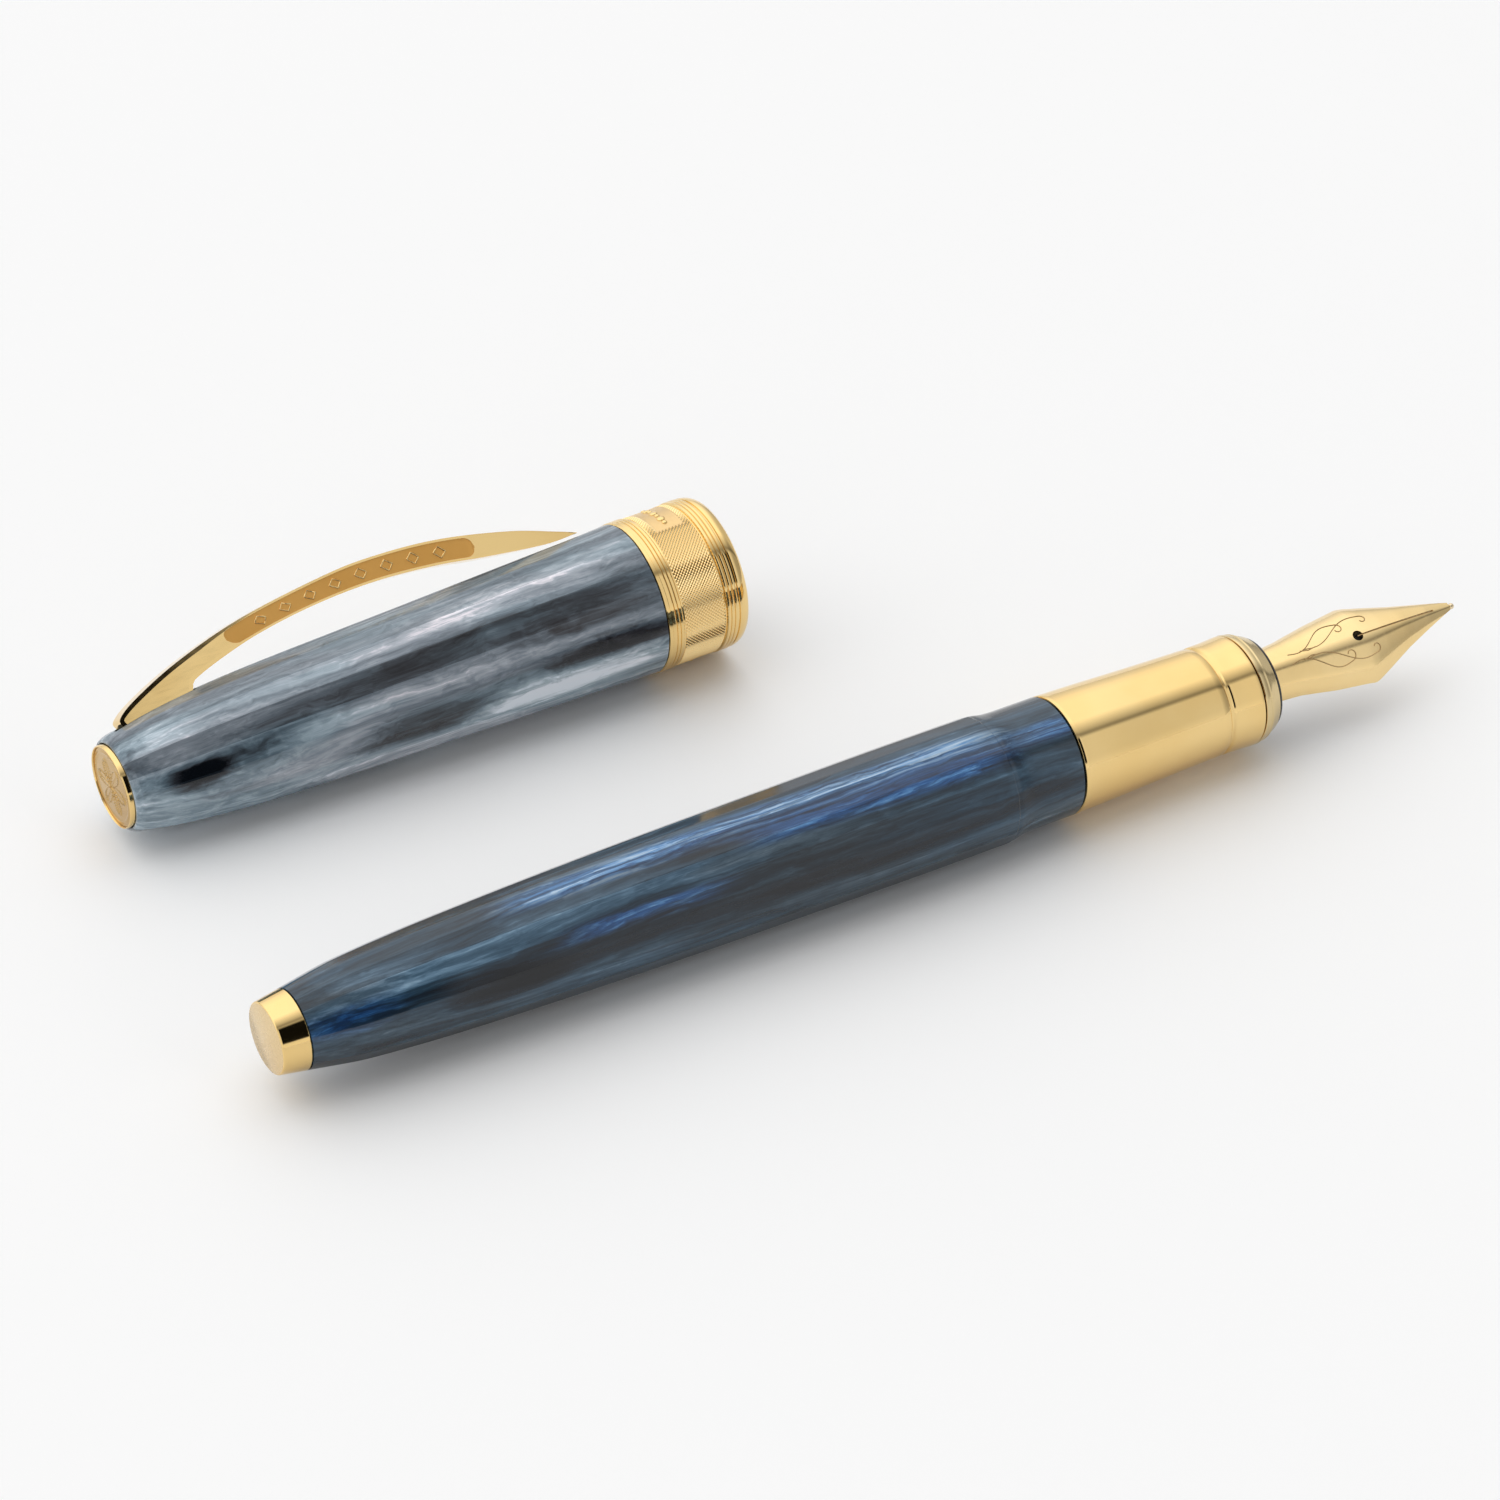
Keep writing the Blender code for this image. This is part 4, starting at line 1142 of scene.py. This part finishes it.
# A plain row of raised lozenges on each panel
LOZENGE = [(-1.0, 0.0), (0.0, 1.0), (1.0, 0.0), (0.0, -1.0), (-1.0, 0.0)]
LOZENGE_START = 19.4
LOZENGE_SPACING = 2.8
LOZENGE_HALF_LENGTH = 0.62
LOZENGE_SHARE = 0.24
clip_marks = []
for side in (-1, 1):
    for k in range(8):
        path = []
        for (x0, v0), (x1, v1) in zip(LOZENGE, LOZENGE[1:]):
            for t in np.linspace(0, 1, 4):
                x = LOZENGE_START + LOZENGE_SPACING * k + LOZENGE_HALF_LENGTH * (x0 + (x1 - x0) * t)
                path.append(on_clip(x, 0.5 + LOZENGE_SHARE * (v0 + (v1 - v0) * t), side))
        clip_marks.append(tube(path, 0.085))
make_piece("clip_ornament", joined(clip_marks), CROWN, "clip", [GOLD], sharp=60)

# ---------------------------------------------------------------- CAD pieces that stay

FINISHES = [
    (STEEL, "tail_stud", "barrel_thread_sleeve", "agitator_ball", "cap_liner"),
    (STEEL, "clip_mount", "clip_pin", "clip_spring"),
    (BLACK, "section_liner", "converter_socket", "inner_cap"),
    (MAGNET, "cap_magnet_ring", "finial_magnet"),
    (RUBBER, "section_o_ring"),
    (CLEAR, "converter_tube"),
]
for finish, *node_names in FINISHES:
    for node_name in node_names:
        for slot in frame["nodes"][node_name].material_slots:
            slot.link = "OBJECT"
            slot.material = finish

# ---------------------------------------------------------------- floor, light and camera

# The studio's brightness along the arc from the back horizon (0) over the top (0.5) to the front (1)
STUDIO = [
    (0.0, 0.55), (0.06, 0.70), (0.14, 0.90), (0.22, 1.0), (0.50, 1.0), (0.56, 0.71), (0.62, 0.42),
    (0.645, 0.23), (0.66, 0.25), (0.69, 0.62), (0.92, 0.62), (1.0, 0.70),
]
STUDIO_STRENGTH = 1.41
FLOOR_HALF = 9
FLOOR_DROP = 0.02 * MM

scene = bpy.context.scene
scene.view_settings.view_transform = "Standard"

floor_mesh = bpy.data.meshes.new("floor")
corners = [(x * FLOOR_HALF, y * FLOOR_HALF, 0) for x, y in ((-1, -1), (1, -1), (1, 1), (-1, 1))]
floor_mesh.from_pydata(corners, [], [(0, 1, 2, 3)])
floor = placed("floor", floor_mesh)
floor.location = (0, 0, cad_bounds[0][2] - FLOOR_DROP)
floor_paint = Recipe("floor_paint", Roughness=0.6)
speckle = floor_paint.noise(floor_paint.scaled((0.02, 0.02, 0.02)), detail=2.0)
floor_paint.set("Base Color", floor_paint.mix(speckle, (0.975, 0.975, 0.975), (0.98, 0.98, 0.98)))
floor_mesh.materials.append(floor_paint.material)

world = bpy.data.worlds.new("studio")
scene.world = world
world.use_nodes = True
sky = Graph(world.node_tree)
direction = sky.add("ShaderNodeTexCoord").outputs["Generated"]
across, behind, height = sky.add("ShaderNodeSeparateXYZ", {0: direction}).outputs
# The direction's place on that arc
angle = sky.maths("DIVIDE", sky.maths("ARCTAN2", height, behind), math.pi)
level = sky.ramp(angle, [(place, (value,) * 3) for place, value in STUDIO])
# A dark gap in the front board, where the camera stands
card = sky.maths("MULTIPLY", sky.span(across, -0.30, -0.24, 0.0, 1.0), sky.span(across, 0.24, 0.30, 1.0, 0.0))
card = sky.maths("MULTIPLY", card, sky.span(angle, 0.66, 0.70, 0.0, 1.0))
card = sky.maths("MULTIPLY", card, sky.span(angle, 0.93, 0.95, 1.0, 0.0))
level = sky.mix(card, level, (0.004, 0.004, 0.004))
# The studio is darker beyond the nib's end
dimmed = sky.mix(1.0, level, (0.48, 0.48, 0.48), blend="MULTIPLY")
level = sky.mix(sky.span(across, 0.40, 0.80, 0.0, 1.0), level, dimmed)
background = world.node_tree.nodes["Background"]
sky.feed(background.inputs["Color"], level)
background.inputs["Strength"].default_value = STUDIO_STRENGTH

# The camera: right, up and forward from its azimuth, elevation and roll
AZIMUTH = math.radians(-31.24)
ELEVATION = math.radians(37.23)
ROLL = math.radians(0.84)
FOCAL_LENGTH = 144.0
SENSOR_WIDTH = 36.0
CAMERA_FROM_TAIL = Vector((-177.1, -374.9, 346.7))
right = Vector((math.cos(AZIMUTH), math.sin(AZIMUTH), 0))
flat = math.cos(ELEVATION)
forward = Vector((-math.sin(AZIMUTH) * flat, math.cos(AZIMUTH) * flat, -math.sin(ELEVATION)))
upward = right.cross(forward)
rolled_right = math.cos(ROLL) * right + math.sin(ROLL) * upward
rolled_up = math.cos(ROLL) * upward - math.sin(ROLL) * right
lens = bpy.data.cameras.new("camera")
lens.lens = FOCAL_LENGTH
lens.sensor_width = SENSOR_WIDTH
lens.clip_start = 0.01
camera = placed("camera", lens)
turn = Matrix((rolled_right, rolled_up, -forward)).transposed().to_4x4()
camera.matrix_world = Matrix.Translation(PEN.translation + CAMERA_FROM_TAIL * MM) @ turn
scene.camera = camera
